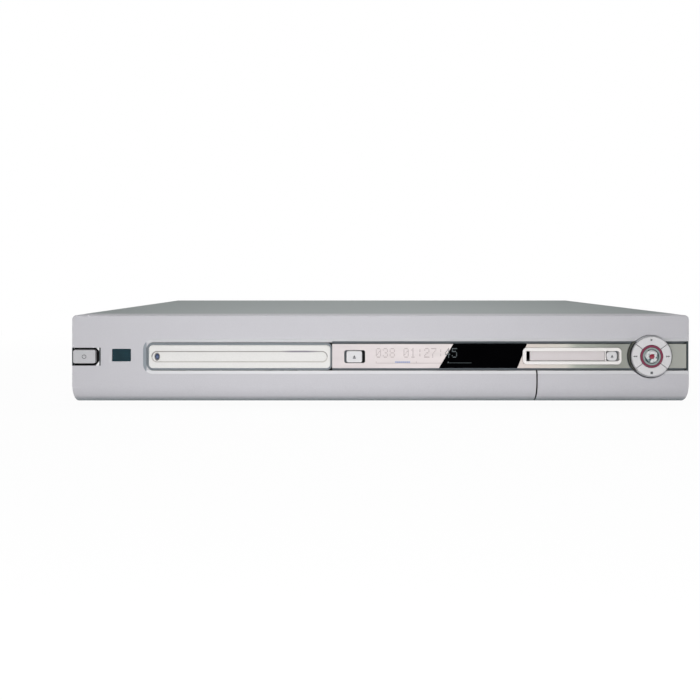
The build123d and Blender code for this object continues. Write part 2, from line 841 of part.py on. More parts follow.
for number, name in enumerate(key_names):
    half_angle = key_split_angle if number % 2 == 0 else 90 - key_split_angle
    angle = 90 * number
    with BuildPart() as nav_key:
        with BuildSketch(Plane.XZ.offset(-behind(key_back))) as sector:
            with Locations((dial_x, dial_z)):
                Circle(key_ring_outer)
                Circle(key_ring_inner, mode=Mode.SUBTRACT)
            edges = [math.radians(angle + turn) for turn in (-half_angle, 0, half_angle)]
            reach = 3 * key_ring_outer
            corners = [(dial_x + reach * math.cos(edge), dial_z + reach * math.sin(edge)) for edge in edges]
            with BuildLine(mode=Mode.PRIVATE) as wedge:
                Polyline((dial_x, dial_z), *corners, close=True)
            add(make_face(wedge.edges(), mode=Mode.PRIVATE), mode=Mode.INTERSECT)
            for turn in (-half_angle, half_angle):
                with Locations(Location((dial_x, dial_z), angle + turn)):
                    Rectangle(2 * reach, key_ring_gap, mode=Mode.SUBTRACT)
        extrude(sector.sketch, amount=key_thickness)
        stem_x = dial_x + key_middle * math.cos(math.radians(angle))
        stem_z = dial_z + key_middle * math.sin(math.radians(angle))
        rod(stem_x, span(key_back - sheet, stem_end), stem_z, stem_radius)
        key_clip = cup_back + moving_gap
        rod(stem_x, span(key_clip, key_clip + clip_thickness), stem_z, clip_radius)
    save(nav_key, f"nav_key_{name}")

with BuildPart() as record_button:
    record_back = cup_floor_depth - key_travel - key_play
    rod(dial_x, span(-dial_stand, record_back), dial_z, record_radius)
    fillet(record_button.faces().sort_by(Axis.Y)[0].edges(), record_edge)
    rod(dial_x, span(record_back - sheet, stem_end), dial_z, stem_radius)
    rod(dial_x, span(key_clip, key_clip + clip_thickness), dial_z, clip_radius)
save(record_button, "record_button")

# Small smoked window, which covers the remote receiver
with BuildPart() as ir_window:
    tile(grow(badge_x, -window_gap), span(window_gap, face_wall), grow(badge_z, -window_gap), badge_corner)
    tile(grow(badge_x, sheet), span(face_wall, face_wall + sheet), grow(badge_z, sheet), badge_corner)
save(ir_window, "ir_window")

# Tact switches behind the buttons
switch_places = [(middle(standby_x), middle(standby_z)), (eject_middle, band_middle),
                 (middle(media_key_x), band_middle), (dial_x, dial_z)]
for number in range(4):
    angle = math.radians(90 * number)
    switch_places.append((dial_x + key_middle * math.cos(angle), dial_z + key_middle * math.sin(angle)))
with BuildPart() as tact_switches:
    for x, z in switch_places:
        block(around(x, switch_size), span(board_depth - switch_height, board_depth), around(z, switch_size))
        rod(x, span(plunger_front, board_depth - sheet), z, plunger_radius)
save(tact_switches, "tact_switches")


# Tray door, with its long groove and the small lamp lens in the groove
door_x = (door_start, door_end)
door_z = grow(tray_opening_z, -door_gap)
door_middle = middle(door_z)
door_back = door_thickness - door_proud
groove_x = grow(door_x, -door_groove_inset)
lens_x = groove_x[0] + door_groove_height / 2
with BuildPart() as tray_front:
    tile(door_x, span(-door_proud, door_back), door_z, door_corner)
    fillet(tray_front.faces().sort_by(Axis.Y)[0].edges(), door_edge)
    with BuildSketch(Plane.XZ.offset(-behind(door_groove_depth - door_proud))) as groove:
        with Locations((middle(groove_x), door_middle)):
            SlotOverall(groove_x[1] - groove_x[0], door_groove_height)
    extrude(groove.sketch, amount=door_thickness, mode=Mode.SUBTRACT)
    with BuildSketch(Plane.XZ.offset(-behind(lens_seat))) as lens_hole:
        with Locations((lens_x, door_middle)):
            Ellipse(lens_width / 2 + window_gap, lens_height / 2 + window_gap)
    extrude(lens_hole.sketch, amount=door_thickness, mode=Mode.SUBTRACT)
save(tray_front, "tray_front")

with BuildPart() as tray_lamp_lens:
    with BuildSketch(Plane.XZ.offset(-behind(lens_seat))) as lens_outline:
        with Locations((lens_x, door_middle)):
            Ellipse(lens_width / 2, lens_height / 2)
    extrude(lens_outline.sketch, amount=lens_seat + door_proud - door_groove_depth + lens_proud)
save(tray_lamp_lens, "tray_lamp_lens")


def gear_points(place, turn, teeth):
    """The outline of an involute gear seen from above, with a tooth pointing along `turn` degrees."""
    pitch_radius = gear_module * teeth / 2
    base_radius = pitch_radius * math.cos(pressure_angle)
    tip_radius = pitch_radius + gear_addendum
    root_radius = pitch_radius - gear_dedendum
    spread = math.tan(pressure_angle) - pressure_angle
    half_tooth = math.pi / (2 * teeth) - gear_play / (2 * pitch_radius)
    start = max(base_radius, root_radius)
    flank = []
    for step in range(flank_steps + 1):
        radius = start + (tip_radius - start) * step / flank_steps
        roll = math.sqrt(max((radius / base_radius) ** 2 - 1, 0))
        flank.append((radius, half_tooth + spread - (roll - math.atan(roll))))
    points = []
    for tooth in range(teeth):
        centre = math.radians(turn) + 2 * math.pi * tooth / teeth
        rise = [(radius, centre - angle) for radius, angle in flank]
        fall = [(radius, centre + angle) for radius, angle in reversed(flank)]
        if root_radius < start:
            rise.insert(0, (root_radius, rise[0][1]))
            fall.append((root_radius, fall[-1][1]))
        for radius, angle in rise + fall:
            points.append((place[0] + radius * math.cos(angle), place[1] + radius * math.sin(angle)))
    return points


def add_gear(place, turn, teeth, bottom):
    """Stands a gear on the height `bottom` at an XY place."""
    with BuildSketch(Plane.XY.offset(bottom)) as profile:
        with BuildLine():
            Polyline(*gear_points(place, turn, teeth), close=True)
        make_face()
    extrude(profile.sketch, amount=gear_thickness)


# Tray drive: a rack under the tray, two gears, a belt and a motor, in a row across the front
pressure_angle = math.radians(20)
drive_y = behind(drive_depth)
rack_x = tray_x + rack_offset
tray_gear_x = rack_x - gear_module * tray_gear_teeth / 2 - mesh_gap
pulley_x = tray_gear_x - gear_module * (tray_gear_teeth + pinion_teeth) / 2 - mesh_gap
motor_x = pulley_x - belt_spacing
gear_z = (gear_bottom, gear_bottom + gear_thickness)
pulley_z = (pulley_bottom, pulley_bottom + pulley_thickness)
belt_z = around(middle(pulley_z), belt_height)
groove_z = grow(belt_z, belt_gap)
pulley_groove = pulley_radius - belt_thickness + belt_gap
motor_groove = motor_pulley_radius - belt_thickness + belt_gap
gear_bore = gear_pin_radius + running_gap
floor_top = loader_floor_bottom + loader_floor
tooth_pitch = math.pi * gear_module

# Disc tray
tray_x_span = around(tray_x, 2 * tray_half_width)
tray_z = (tray_bottom, tray_top)
with BuildPart() as disc_tray:
    spindle = (tray_x, behind(spindle_depth))
    block(tray_x_span, span(door_back, tray_rear), tray_z)
    post(*spindle, (tray_top - disc_recess, tray_top + 1), disc_radius + disc_play, Mode.SUBTRACT)
    small_floor = tray_top - disc_recess - small_disc_recess
    post(*spindle, (small_floor, tray_top), small_disc_radius + disc_play, Mode.SUBTRACT)
    post(*spindle, (tray_bottom - 1, tray_top), tray_slot / 2, Mode.SUBTRACT)
    block(around(tray_x, tray_slot), span(spindle_depth, tray_rear + 1), (tray_bottom - 1, tray_top + 1),
          Mode.SUBTRACT)
    rack_back_x = rack_x + gear_dedendum
    block((rack_back_x, rack_back_x + rack_back), span(rack_front, rack_rear), (rack_bottom, tray_bottom + 1))
    tooth_count = int((rack_rear - drive_depth) / tooth_pitch)
    first_tooth = -int((drive_depth - rack_front) / tooth_pitch)
    with BuildSketch(Plane.XY.offset(rack_bottom)) as rack_teeth:
        for tooth in range(first_tooth, tooth_count):
            tooth_y = drive_y + (tooth + 0.5) * tooth_pitch
            tip = tooth_pitch / 4 - gear_play / 2 - gear_addendum * math.tan(pressure_angle)
            root = tooth_pitch / 4 - gear_play / 2 + gear_dedendum * math.tan(pressure_angle)
            with BuildLine():
                Polyline((rack_x - gear_addendum, tooth_y - tip), (rack_x - gear_addendum, tooth_y + tip),
                         (rack_back_x + sheet / 2, tooth_y + root), (rack_back_x + sheet / 2, tooth_y - root),
                         close=True)
            make_face()
    extrude(rack_teeth.sketch, amount=tray_bottom - rack_bottom)
save(disc_tray, "disc_tray")

with BuildPart() as tray_gear:
    add_gear((tray_gear_x, drive_y), 0, tray_gear_teeth, gear_z[0])
    post(tray_gear_x, drive_y, grow(gear_z, 1), gear_bore, Mode.SUBTRACT)
save(tray_gear, "tray_gear")

with BuildPart() as pulley_gear:
    post(pulley_x, drive_y, pulley_z, pulley_radius)
    post(pulley_x, drive_y, groove_z, pulley_radius + 1, Mode.SUBTRACT)
    post(pulley_x, drive_y, pulley_z, pulley_groove)
    post(pulley_x, drive_y, (pulley_z[0], gear_z[0]), gear_boss_radius + 1)
    add_gear((pulley_x, drive_y), 180 / pinion_teeth, pinion_teeth, gear_z[0])
    post(pulley_x, drive_y, (pulley_z[0] - 1, gear_z[1] + 1), gear_bore, Mode.SUBTRACT)
save(pulley_gear, "pulley_gear")

motor_z = (floor_top, floor_top + motor_height)
with BuildPart() as motor_pulley:
    post(motor_x, drive_y, pulley_z, motor_pulley_radius)
    post(motor_x, drive_y, groove_z, motor_pulley_radius + 1, Mode.SUBTRACT)
    post(motor_x, drive_y, (motor_z[1] - motor_bore_depth, pulley_z[1]), motor_shaft_radius)
    post(motor_x, drive_y, pulley_z, motor_groove)
save(motor_pulley, "motor_pulley")

with BuildPart() as loader_motor:
    post(motor_x, drive_y, motor_z, motor_radius)
    bore_z = (motor_z[1] - motor_bore_depth - belt_gap, motor_z[1] + 1)
    post(motor_x, drive_y, bore_z, motor_shaft_radius + running_gap, Mode.SUBTRACT)
save(loader_motor, "loader_motor")

with BuildPart() as drive_belt:
    belt_radii = (pulley_groove + belt_gap, motor_groove + belt_gap)
    belt_faces = []
    for extra in (belt_thickness, 0):
        with BuildSketch(Plane.XY.offset(belt_z[0])) as loop:
            with BuildLine():
                for x, radius in zip((pulley_x, motor_x), belt_radii):
                    CenterArc((x, drive_y), radius + extra, 0, 360)
            make_hull()
        belt_faces.append(loop.sketch)
    extrude(belt_faces[0], amount=belt_height)
    extrude(belt_faces[1], amount=belt_height, mode=Mode.SUBTRACT)
save(drive_belt, "drive_belt")

# Loader frame: floor, side walls with rails for the tray, gear pins and bosses for the traverse
rail_inner = tray_half_width + rail_play
wall_x = [around(tray_x + side * (rail_inner + loader_wall / 2), loader_wall) for side in (-1, 1)]
loader_x = (wall_x[0][0], wall_x[1][1])
traverse_boss_inner = loader_window / 2
with BuildPart() as loader_frame:
    loader_depths = span(loader_front, loader_rear)
    block(loader_x, loader_depths, (loader_floor_bottom, floor_top))
    for x in wall_x:
        block(x, loader_depths, (loader_floor_bottom, loader_top))
    block(loader_x, span(loader_rear - loader_floor, loader_rear), (loader_floor_bottom, tray_bottom - 1))
    for side in (-1, 1):
        rail_x = around(tray_x + side * (rail_inner - rail_reach / 2), rail_reach + sheet)
        for z in (tray_bottom - rail_play - rail_thickness, tray_top + rail_play):
            block(rail_x, loader_depths, (z, z + rail_thickness))
        boss_x = around(tray_x + side * (traverse_boss_inner + traverse_boss / 2), traverse_boss)
        boss_y = around(behind(traverse_pivot), 2 * traverse_boss_half)
        block(boss_x, boss_y, (loader_floor_bottom, traverse_axis_z + traverse_boss_half))
        for depth in (loader_front + loader_leg_inset, loader_rear - loader_leg_inset):
            leg_x = tray_x + side * (rail_inner - loader_leg_radius)
            post(leg_x, behind(depth), (base_top, loader_floor_bottom + sheet), loader_leg_radius)
    window_x = around(tray_x, loader_window)
    block(window_x, span(spindle_depth - loader_window_front, spindle_depth + loader_window_rear),
          (loader_floor_bottom - 1, floor_top + 1), Mode.SUBTRACT)
    axle(grow(window_x, 2 * traverse_boss), behind(traverse_pivot), traverse_axis_z,
         traverse_pin_radius + running_gap, Mode.SUBTRACT)
    post(tray_gear_x, drive_y, (floor_top - 1, gear_z[0] - rail_play), gear_boss_radius)
    post(tray_gear_x, drive_y, (floor_top, gear_z[1] + rail_play), gear_pin_radius)
    post(pulley_x, drive_y, (floor_top - 1, pulley_z[0] - rail_play), gear_boss_radius)
    post(pulley_x, drive_y, (floor_top, gear_z[1] + rail_play), gear_pin_radius)
save(loader_frame, "loader_frame")

# Traverse: a plate on two pivots that carries the spindle motor and the pickup's rods
plate_top = traverse_bottom + traverse_plate
rod_z = plate_top + guide_rod_rise
sled_z = (plate_top + moving_gap, plate_top + moving_gap + sled_height)
spindle_y = behind(spindle_depth)
lens_y = behind(spindle_depth + lens_start)
screw_x = tray_x + screw_spread
rod_places = [tray_x - guide_rod_spread, tray_x + guide_rod_spread]
with BuildPart() as traverse_frame:
    traverse_x = around(tray_x, 2 * traverse_half_width)
    traverse_depths = span(spindle_depth - traverse_front, spindle_depth + traverse_rear)
    block(traverse_x, traverse_depths, (traverse_bottom, traverse_top))
    block(grow(traverse_x, -traverse_plate), (traverse_depths[0] - 1, traverse_depths[1] + 1),
          (plate_top, traverse_top + 1), Mode.SUBTRACT)
    sled_window = span(guide_front + holder_thickness, guide_rear - holder_thickness)
    block(around(tray_x, 2 * window_half), sled_window, (traverse_bottom - 1, plate_top + 1), Mode.SUBTRACT)
    for y in (span(guide_front, guide_front + holder_thickness), span(guide_rear - holder_thickness, guide_rear)):
        for x in rod_places + [screw_x]:
            block(around(x, 2 * holder_half), y, (plate_top - 1, rod_z + holder_half))
    for x in rod_places:
        rod(x, span(guide_front + sheet, guide_rear - sheet), rod_z, guide_rod_radius, Mode.SUBTRACT)
    rod(screw_x, span(guide_front - 1, guide_rear - sheet), rod_z, screw_radius + running_gap, Mode.SUBTRACT)
    for side in (-1, 1):
        pin_x = around(tray_x + side * (traverse_half_width + traverse_pin_reach / 2), traverse_pin_reach)
        axle(grow(pin_x, sheet / 2), behind(traverse_pivot), traverse_axis_z, traverse_pin_radius)
save(traverse_frame, "traverse_frame")

with BuildPart() as guide_rods:
    for x in rod_places:
        rod(x, span(guide_front + sheet, guide_rear - sheet), rod_z, guide_rod_radius)
save(guide_rods, "guide_rods")

with BuildPart() as traverse_motors:
    post(tray_x, spindle_y, (plate_top, plate_top + spindle_motor_height), spindle_motor_radius)
    post(tray_x, spindle_y, (plate_top + moving_gap, tray_bottom), spindle_shaft_radius + running_gap,
         Mode.SUBTRACT)
    rod(screw_x, span(spindle_depth - sled_motor_front, guide_front - holder_gap), rod_z, guide_rod_rise)
save(traverse_motors, "traverse_motors")

with BuildPart() as turntable:
    post(tray_x, spindle_y, (turntable_top - turntable_thickness, turntable_top), turntable_radius)
    post(tray_x, spindle_y, (turntable_top - 1, turntable_top + hub_height), hub_radius)
    fillet(turntable.faces().sort_by(Axis.Z)[-1].edges(), hub_edge)
    post(tray_x, spindle_y, (plate_top + 2 * moving_gap, turntable_top), spindle_shaft_radius)
save(turntable, "turntable")

with BuildPart() as pickup_sled:
    block(around(tray_x, 2 * sled_half_width), around(lens_y, sled_length), sled_z)
    nut_x = (tray_x + sled_half_width - 1, screw_x + nut_half)
    block(nut_x, around(lens_y, nut_length), grow(around(rod_z, 0), nut_half))
    for x in rod_places:
        rod(x, around(lens_y, 2 * sled_length), rod_z, guide_rod_radius + running_gap, Mode.SUBTRACT)
    rod(screw_x, around(lens_y, 2 * sled_length), rod_z, screw_radius + sheet_gap, Mode.SUBTRACT)
    post(tray_x, lens_y, (sled_z[1] - lens_seat_depth, sled_z[1] + 1), pickup_lens_radius + window_gap,
         Mode.SUBTRACT)
save(pickup_sled, "pickup_sled")

with BuildPart() as pickup_lens:
    post(tray_x, lens_y, (sled_z[1] - lens_seat_depth, sled_z[1] + pickup_lens_rise), pickup_lens_radius)
    fillet(pickup_lens.faces().sort_by(Axis.Z)[-1].edges(), pickup_lens_rise / 2)
save(pickup_lens, "pickup_lens")

with BuildPart() as feed_screw:
    rod(screw_x, span(guide_front - holder_gap + moving_gap, guide_rear - sheet - moving_gap), rod_z, screw_radius)
save(feed_screw, "feed_screw")

# Clamp over the spindle
bridge_top = loader_top + clamp_bridge_thickness
with BuildPart() as clamp_bridge:
    block(loader_x, around(spindle_y, clamp_bridge_width), (loader_top, bridge_top))
    post(tray_x, spindle_y, (loader_top - 1, bridge_top + 1), clamp_hole_radius, Mode.SUBTRACT)
save(clamp_bridge, "clamp_bridge")

with BuildPart() as clamper:
    flange_bottom = bridge_top + clamper_rise
    clamper_bottom = turntable_top + disc_thickness + moving_gap
    post(tray_x, spindle_y, (flange_bottom, flange_bottom + clamper_flange), clamper_flange_radius)
    post(tray_x, spindle_y, (clamper_bottom, flange_bottom + 1), clamper_radius)
    recess_top = turntable_top + hub_height + moving_gap
    post(tray_x, spindle_y, (clamper_bottom - 1, recess_top), clamper_recess, Mode.SUBTRACT)
save(clamper, "clamper")

# Base of the case: a steel tray with lips on three sides and posts under the boards
cover_inner = cover_half - sheet
board_split = -half_width + board_split_from_left
digital_left = tray_x + digital_from_tray
base_half = cover_inner - sheet_gap
rear_plate_front = rear_plate_back - sheet
board_z = (base_top + standoff, base_top + standoff + board)
boards_rear = rear_plate_front - board_margin
power_x = (-base_half + sheet + board_margin, board_split - board_split_gap / 2)
main_x = (board_split + board_split_gap / 2, base_half - sheet - board_margin)
digital_x = (digital_left, digital_left + digital_width)
rear_boards = span(rear_boards_front, boards_rear)
digital_y = span(digital_front, digital_front + digital_length)
board_areas = [(power_x, rear_boards), (main_x, rear_boards), (digital_x, digital_y)]
standoff_places = []
for area_x, area_y in board_areas:
    inset = standoff_radius + sheet
    for x in grow(area_x, -inset):
        for y in grow(area_y, -inset):
            standoff_places.append((x, y))
with BuildPart() as chassis_base:
    block((-base_half, base_half), span(face_depth + cover_gap, rear_plate_back), (base_bottom, base_top))
    tongue_half = half_width - face_wall - sheet_gap
    block((-tongue_half, tongue_half), span(base_front, face_depth + sheet), (base_bottom, base_top))
    for side in (-1, 1):
        lip_x = around(side * (base_half - sheet / 2), sheet)
        lip_y = span(face_depth + cover_gap, rear_plate_front)
        block(lip_x, lip_y, (base_bottom, base_top + base_side_lip))
    front_lip_x = (-tongue_half, ear_x[0][0] - moving_gap)
    block(front_lip_x, span(base_front, base_front + sheet), (base_bottom, base_top + base_lip))
    for x, y in standoff_places:
        post(x, y, (base_bottom, board_z[0]), standoff_radius)
save(chassis_base, "chassis_base")

# Cover: a folded sheet over the top and sides, with a short lip down the back
with BuildPart() as top_cover:
    cover_depths = span(face_depth + cover_gap, cover_depth)
    block((-cover_half, cover_half), cover_depths, (base_bottom, cover_top))
    fillet(top_cover.edges().filter_by(Axis.Y).group_by(Axis.Z)[-1], cover_bend)
    inside = (cover_depths[0] - 1, cover_depths[1] - sheet)
    block((-cover_inner, cover_inner), inside, (base_bottom - 1, cover_top - sheet), Mode.SUBTRACT)
    behind_lip = (cover_depths[1] - 2 * sheet, cover_depths[1] + 1)
    block((-cover_inner, cover_inner), behind_lip, (base_bottom - 1, cover_top - cover_flange), Mode.SUBTRACT)
    for side in (-1, 1):
        for row in range(vent_rows):
            for slot in range(vent_count):
                vent_y = behind(vent_front + slot * vent_pitch)
                vent_z = vent_low + row * vent_row_pitch
                block(around(side * cover_half, 4 * sheet), around(vent_y, vent_width),
                      around(vent_z, vent_height), Mode.SUBTRACT)
save(top_cover, "top_cover")

# Feet and their pads
foot_places = [(side * (half_width - foot_inset), behind(depth))
               for side in (-1, 1) for depth in (foot_front, cover_depth - foot_inset)]
with BuildPart() as feet:
    for x, y in foot_places:
        with BuildSketch(Plane.XY.offset(base_bottom)) as foot_top:
            with Locations((x, y)):
                Circle(foot_radius)
        extrude(foot_top.sketch, amount=-(base_bottom - foot_pad_height + foot_pad_seat), taper=foot_taper)
        post(x, y, (-1, foot_pad_height), foot_pad_radius + window_gap, Mode.SUBTRACT)
save(feet, "feet")

with BuildPart() as foot_pads:
    for x, y in foot_places:
        post(x, y, (0, foot_pad_height), foot_pad_radius)
save(foot_pads, "foot_pads")


def phono_socket(x, front, z, facing, depth):
    """The coloured body of a phono socket. `facing` is -1 for the front and 1 for the rear."""
    back = front - facing * depth
    body = (min(front, back), max(front, back))
    block(around(x, phono_body), body, around(z, phono_body))
    mouth = (min(front, front + facing * phono_insert), max(front, front + facing * phono_insert))
    rod(x, mouth, z, phono_shell_radius - phono_shell_wall)
    bore = (min(back, mouth[0]) + sheet, max(back, mouth[1]) - sheet)
    reach = (mouth[0] - 1, bore[1]) if facing < 0 else (bore[0], mouth[1] + 1)
    rod(x, reach, z, phono_bore, Mode.SUBTRACT)


def phono_shell(x, front, z, facing):
    """The metal sleeve round a phono socket's mouth."""
    sleeve = (min(front, front + facing * phono_shell_length), max(front, front + facing * phono_shell_length))
    rod(x, sleeve, z, phono_shell_radius)
    rod(x, grow(sleeve, 1), z, phono_shell_radius - phono_shell_wall, Mode.SUBTRACT)


# Phono sockets, front and rear. Yellow carries the picture, white and red the sound
front_seat = behind(socket_panel_back)
rear_seat = behind(rear_plate_front)
rear_rows = [board_z[1] + phono_body / 2, board_z[1] + phono_body * 3 / 2 + rear_row_gap]
for number, name in enumerate(["video_sockets", "left_audio_sockets", "right_audio_sockets"]):
    with BuildPart() as sockets:
        phono_socket(phono_places[number], front_seat, socket_z, -1, phono_body_depth)
        for z in rear_rows:
            phono_socket(rear_columns[number], rear_seat, z, 1, phono_body_depth)
        low_x = around(rear_columns[number], phono_body)
        block(low_x, (rear_seat - phono_body_depth, rear_seat), (board_z[1], rear_rows[1]), Mode.ADD)
        for z in rear_rows:
            rod(rear_columns[number], (rear_seat - phono_body_depth + sheet, rear_seat + phono_shell_length), z,
                phono_bore, Mode.SUBTRACT)
    save(sockets, name)

with BuildPart() as phono_shells:
    for x in phono_places:
        phono_shell(x, front_seat, socket_z, -1)
    for x in rear_columns:
        for z in rear_rows:
            phono_shell(x, rear_seat, z, 1)
save(phono_shells, "phono_shells")

# Round four-pin socket and small digital socket at the front
with BuildPart() as front_data_sockets:
    data_depths = (behind(socket_panel_depth) - front_socket_reach, front_seat + phono_body_depth)
    rod(din_x, data_depths, socket_z, din_radius)
    rod(din_x, (data_depths[0] - 1, data_depths[0] + din_depth), socket_z, din_bore, Mode.SUBTRACT)
    for side in (-1, 1):
        rod(din_x + side * din_bore / 2, (data_depths[0] + 1, data_depths[1]), socket_z + din_bore / 4, din_pin)
        rod(din_x + side * din_bore / 3, (data_depths[0] + 1, data_depths[1]), socket_z - din_bore / 3, din_pin)
    block(around(dv_x, dv_width), data_depths, around(socket_z, dv_height))
    block(around(dv_x, dv_width - 2 * dv_wall), (data_depths[0] - 1, data_depths[0] + din_depth),
          around(socket_z, dv_height - 2 * dv_wall), Mode.SUBTRACT)
save(front_data_sockets, "front_data_sockets")

# Rear panel
scart_z = (board_z[1], board_z[1] + scart_height)
tuner_z = (board_z[1], board_z[1] + tuner_height)
aerial_places = [tuner_centre - tuner_width / 4, tuner_centre + tuner_width / 4]
inlet_x = around(inlet_centre, inlet_width)
inlet_z = (board_z[1], board_z[1] + inlet_height)
fan_z = fan_rise
with BuildPart() as rear_panel:
    rear_depths = (behind(rear_plate_front), behind(rear_plate_back))
    rear_half = base_half - sheet - sheet_gap
    rear_top = cover_top - sheet - moving_gap
    block((-rear_half, rear_half), rear_depths, (base_top, rear_top))
    cut = grow(rear_depths, 1)
    for x in scart_places:
        block(around(x, scart_width + 2 * moving_gap), cut, grow(scart_z, moving_gap), Mode.SUBTRACT)
    for x in rear_columns:
        for z in rear_rows:
            rod(x, cut, z, phono_shell_radius + moving_gap, Mode.SUBTRACT)
    for x in aerial_places:
        rod(x, cut, middle(tuner_z), aerial_radius + moving_gap, Mode.SUBTRACT)
    block(grow(inlet_x, moving_gap), cut, grow(inlet_z, moving_gap), Mode.SUBTRACT)
    rod(fan_centre, cut, fan_z, rear_vent_radius, Mode.SUBTRACT)
    for radius in (rear_vent_radius * 2 / 3, rear_vent_radius / 3):
        rod(fan_centre, rear_depths, fan_z, radius)
        rod(fan_centre, cut, fan_z, radius - guard_wire, Mode.SUBTRACT)
    for turn in (45, 135):
        with BuildSketch(Plane.XZ.offset(-rear_depths[1])) as wire:
            with Locations(Location((fan_centre, fan_z), turn)):
                Rectangle(2 * rear_vent_radius + 1, guard_wire)
        extrude(wire.sketch, amount=sheet)
save(rear_panel, "rear_panel")

with BuildPart() as scart_sockets:
    scart_depths = (rear_seat - scart_depth, behind(rear_plate_back) + scart_proud)
    for x in scart_places:
        block(around(x, scart_width), scart_depths, scart_z)
        mouth_x = around(x, scart_width - 2 * scart_wall)
        mouth_y = (scart_depths[1] - scart_mouth_depth, scart_depths[1] + 1)
        mouth_z = grow(scart_z, -scart_wall)
        block(mouth_x, mouth_y, mouth_z, Mode.SUBTRACT)
        block(grow(mouth_x, -scart_tongue_inset), (mouth_y[0] - 1, scart_depths[1] - scart_wall),
              around(middle(scart_z), scart_tongue))
save(scart_sockets, "scart_sockets")

# Tuner can with the two aerial sockets
with BuildPart() as tuner_module:
    tuner_depths = (rear_seat - tuner_length, rear_seat)
    block(around(tuner_centre, tuner_width), tuner_depths, tuner_z)
    for x in aerial_places:
        aerial_depths = (rear_seat - 1, behind(rear_plate_back) + rear_socket_reach)
        rod(x, aerial_depths, middle(tuner_z), aerial_radius)
        rod(x, (rear_seat, aerial_depths[1] + 1), middle(tuner_z), aerial_bore, Mode.SUBTRACT)
save(tuner_module, "tuner_module")

with BuildPart() as mains_inlet:
    inlet_depths = (rear_seat - inlet_depth, behind(rear_plate_back) + scart_proud)
    block(inlet_x, inlet_depths, inlet_z)
    block(grow(inlet_x, -inlet_wall), (inlet_depths[1] - scart_mouth_depth, inlet_depths[1] + 1),
          grow(inlet_z, -inlet_wall), Mode.SUBTRACT)
    for side in (-1, 1):
        rod(middle(inlet_x) + side * inlet_width / 6, (inlet_depths[0] + 1, inlet_depths[1] - scart_wall),
            middle(inlet_z), inlet_pin)
save(mains_inlet, "mains_inlet")

# Fan on the rear panel
with BuildPart() as fan_frame:
    fan_depths = (rear_seat - fan_depth, rear_seat)
    tile(around(fan_centre, fan_size), fan_depths, around(fan_z, fan_size), fan_corner)
    rod(fan_centre, grow(fan_depths, 1), fan_z, fan_bore, Mode.SUBTRACT)
    rod(fan_centre, (fan_depths[0], fan_depths[0] + fan_strut), fan_z, fan_hub)
    for turn in (0, 60, 120):
        with BuildSketch(Plane.XZ.offset(-(fan_depths[0] + fan_strut))) as strut:
            with Locations(Location((fan_centre, fan_z), turn)):
                Rectangle(2 * fan_bore + 1, fan_strut)
        extrude(strut.sketch, amount=fan_strut)
    rod(fan_centre, (fan_depths[0], fan_depths[1] - fan_strut), fan_z, fan_shaft_radius)
save(fan_frame, "fan_frame")

with BuildPart() as fan_rotor:
    rotor_depths = (fan_depths[0] + fan_strut + moving_gap, fan_depths[1] - moving_gap)
    rod(fan_centre, rotor_depths, fan_z, fan_hub - moving_gap)
    for number in range(fan_blades):
        angle = 360 * number / fan_blades
        reach = fan_bore - moving_gap - fan_hub / 2
        centre = (fan_centre + (fan_hub / 2 + reach / 2) * math.cos(math.radians(angle)), middle(rotor_depths),
                  fan_z + (fan_hub / 2 + reach / 2) * math.sin(math.radians(angle)))
        with Locations(Location(centre, (0, -angle, 0))):
            with Locations(Location((0, 0, 0), (fan_pitch, 0, 0))):
                Box(reach, rotor_depths[1] - rotor_depths[0] - 2 * moving_gap, fan_blade)
    rod(fan_centre, (rotor_depths[0] - 1, fan_depths[1] - fan_strut + moving_gap), fan_z,
        fan_shaft_radius + running_gap, Mode.SUBTRACT)
save(fan_rotor, "fan_rotor")

# Circuit boards: front, standby, sockets, main, power and digital
with BuildPart() as circuit_boards:
    board_depths = span(board_depth, board_depth + board)
    front_board_x = (strip_start + board_inset, half_width - 2 * face_wall)
    front_board_z = (band_bottom + sheet, face_top - 3 * face_wall)
    block(front_board_x, board_depths, front_board_z)
    block(grow(cage_x, moving_gap), span(board_depth - 1, board_depth + board + 1), grow(cage_z, moving_gap),
          Mode.SUBTRACT)
    standby_board_x = (-half_width + 2 * face_wall, badge_x[1] + sheet)
    block(standby_board_x, board_depths, (standby_z[0] - sheet, badge_z[1] + 2 * board_post_radius))
    sockets_y = (front_seat + phono_body_depth, front_seat + phono_body_depth + board)
    block((phono_places[0] - phono_body, dv_x + phono_body), sockets_y, (base_top, base_top + socket_panel_height))
    for area_x, area_y in board_areas:
        block(area_x, area_y, board_z)
save(circuit_boards, "circuit_boards")

# Chips, connectors and the remote receiver
with BuildPart() as board_chips:
    for left, front, chips in ((digital_x[0], digital_y[0], digital_chips), (main_x[0], rear_boards[0], main_chips)):
        for x, y, size in chips:
            block(around(left + x, size), around(front + y, size), (board_z[1], board_z[1] + chip_height))
    receiver_x = around(middle(badge_x), receiver_size)
    block(receiver_x, span(board_depth - receiver_depth, board_depth), around(middle(badge_z), receiver_size))
save(board_chips, "board_chips")

# Finned heat sinks
with BuildPart() as heat_sinks:
    power_sink = (-half_width + power_sink_from_left, rear_boards[0] + power_sink_after)
    for x, y, bottom in ((middle(digital_x), middle(digital_y), board_z[1] + chip_height),
                         (*power_sink, board_z[1])):
        sink_x = around(x, heat_sink_size)
        sink_y = around(y, heat_sink_size)
        block(sink_x, sink_y, (bottom, bottom + heat_sink_base))
        pitch = (heat_sink_size - heat_sink_fin) / (heat_sink_fins - 1)
        for fin in range(heat_sink_fins):
            fin_x = (sink_x[0] + fin * pitch, sink_x[0] + fin * pitch + heat_sink_fin)
            block(fin_x, sink_y, (bottom, bottom + heat_sink_height))
save(heat_sinks, "heat_sinks")

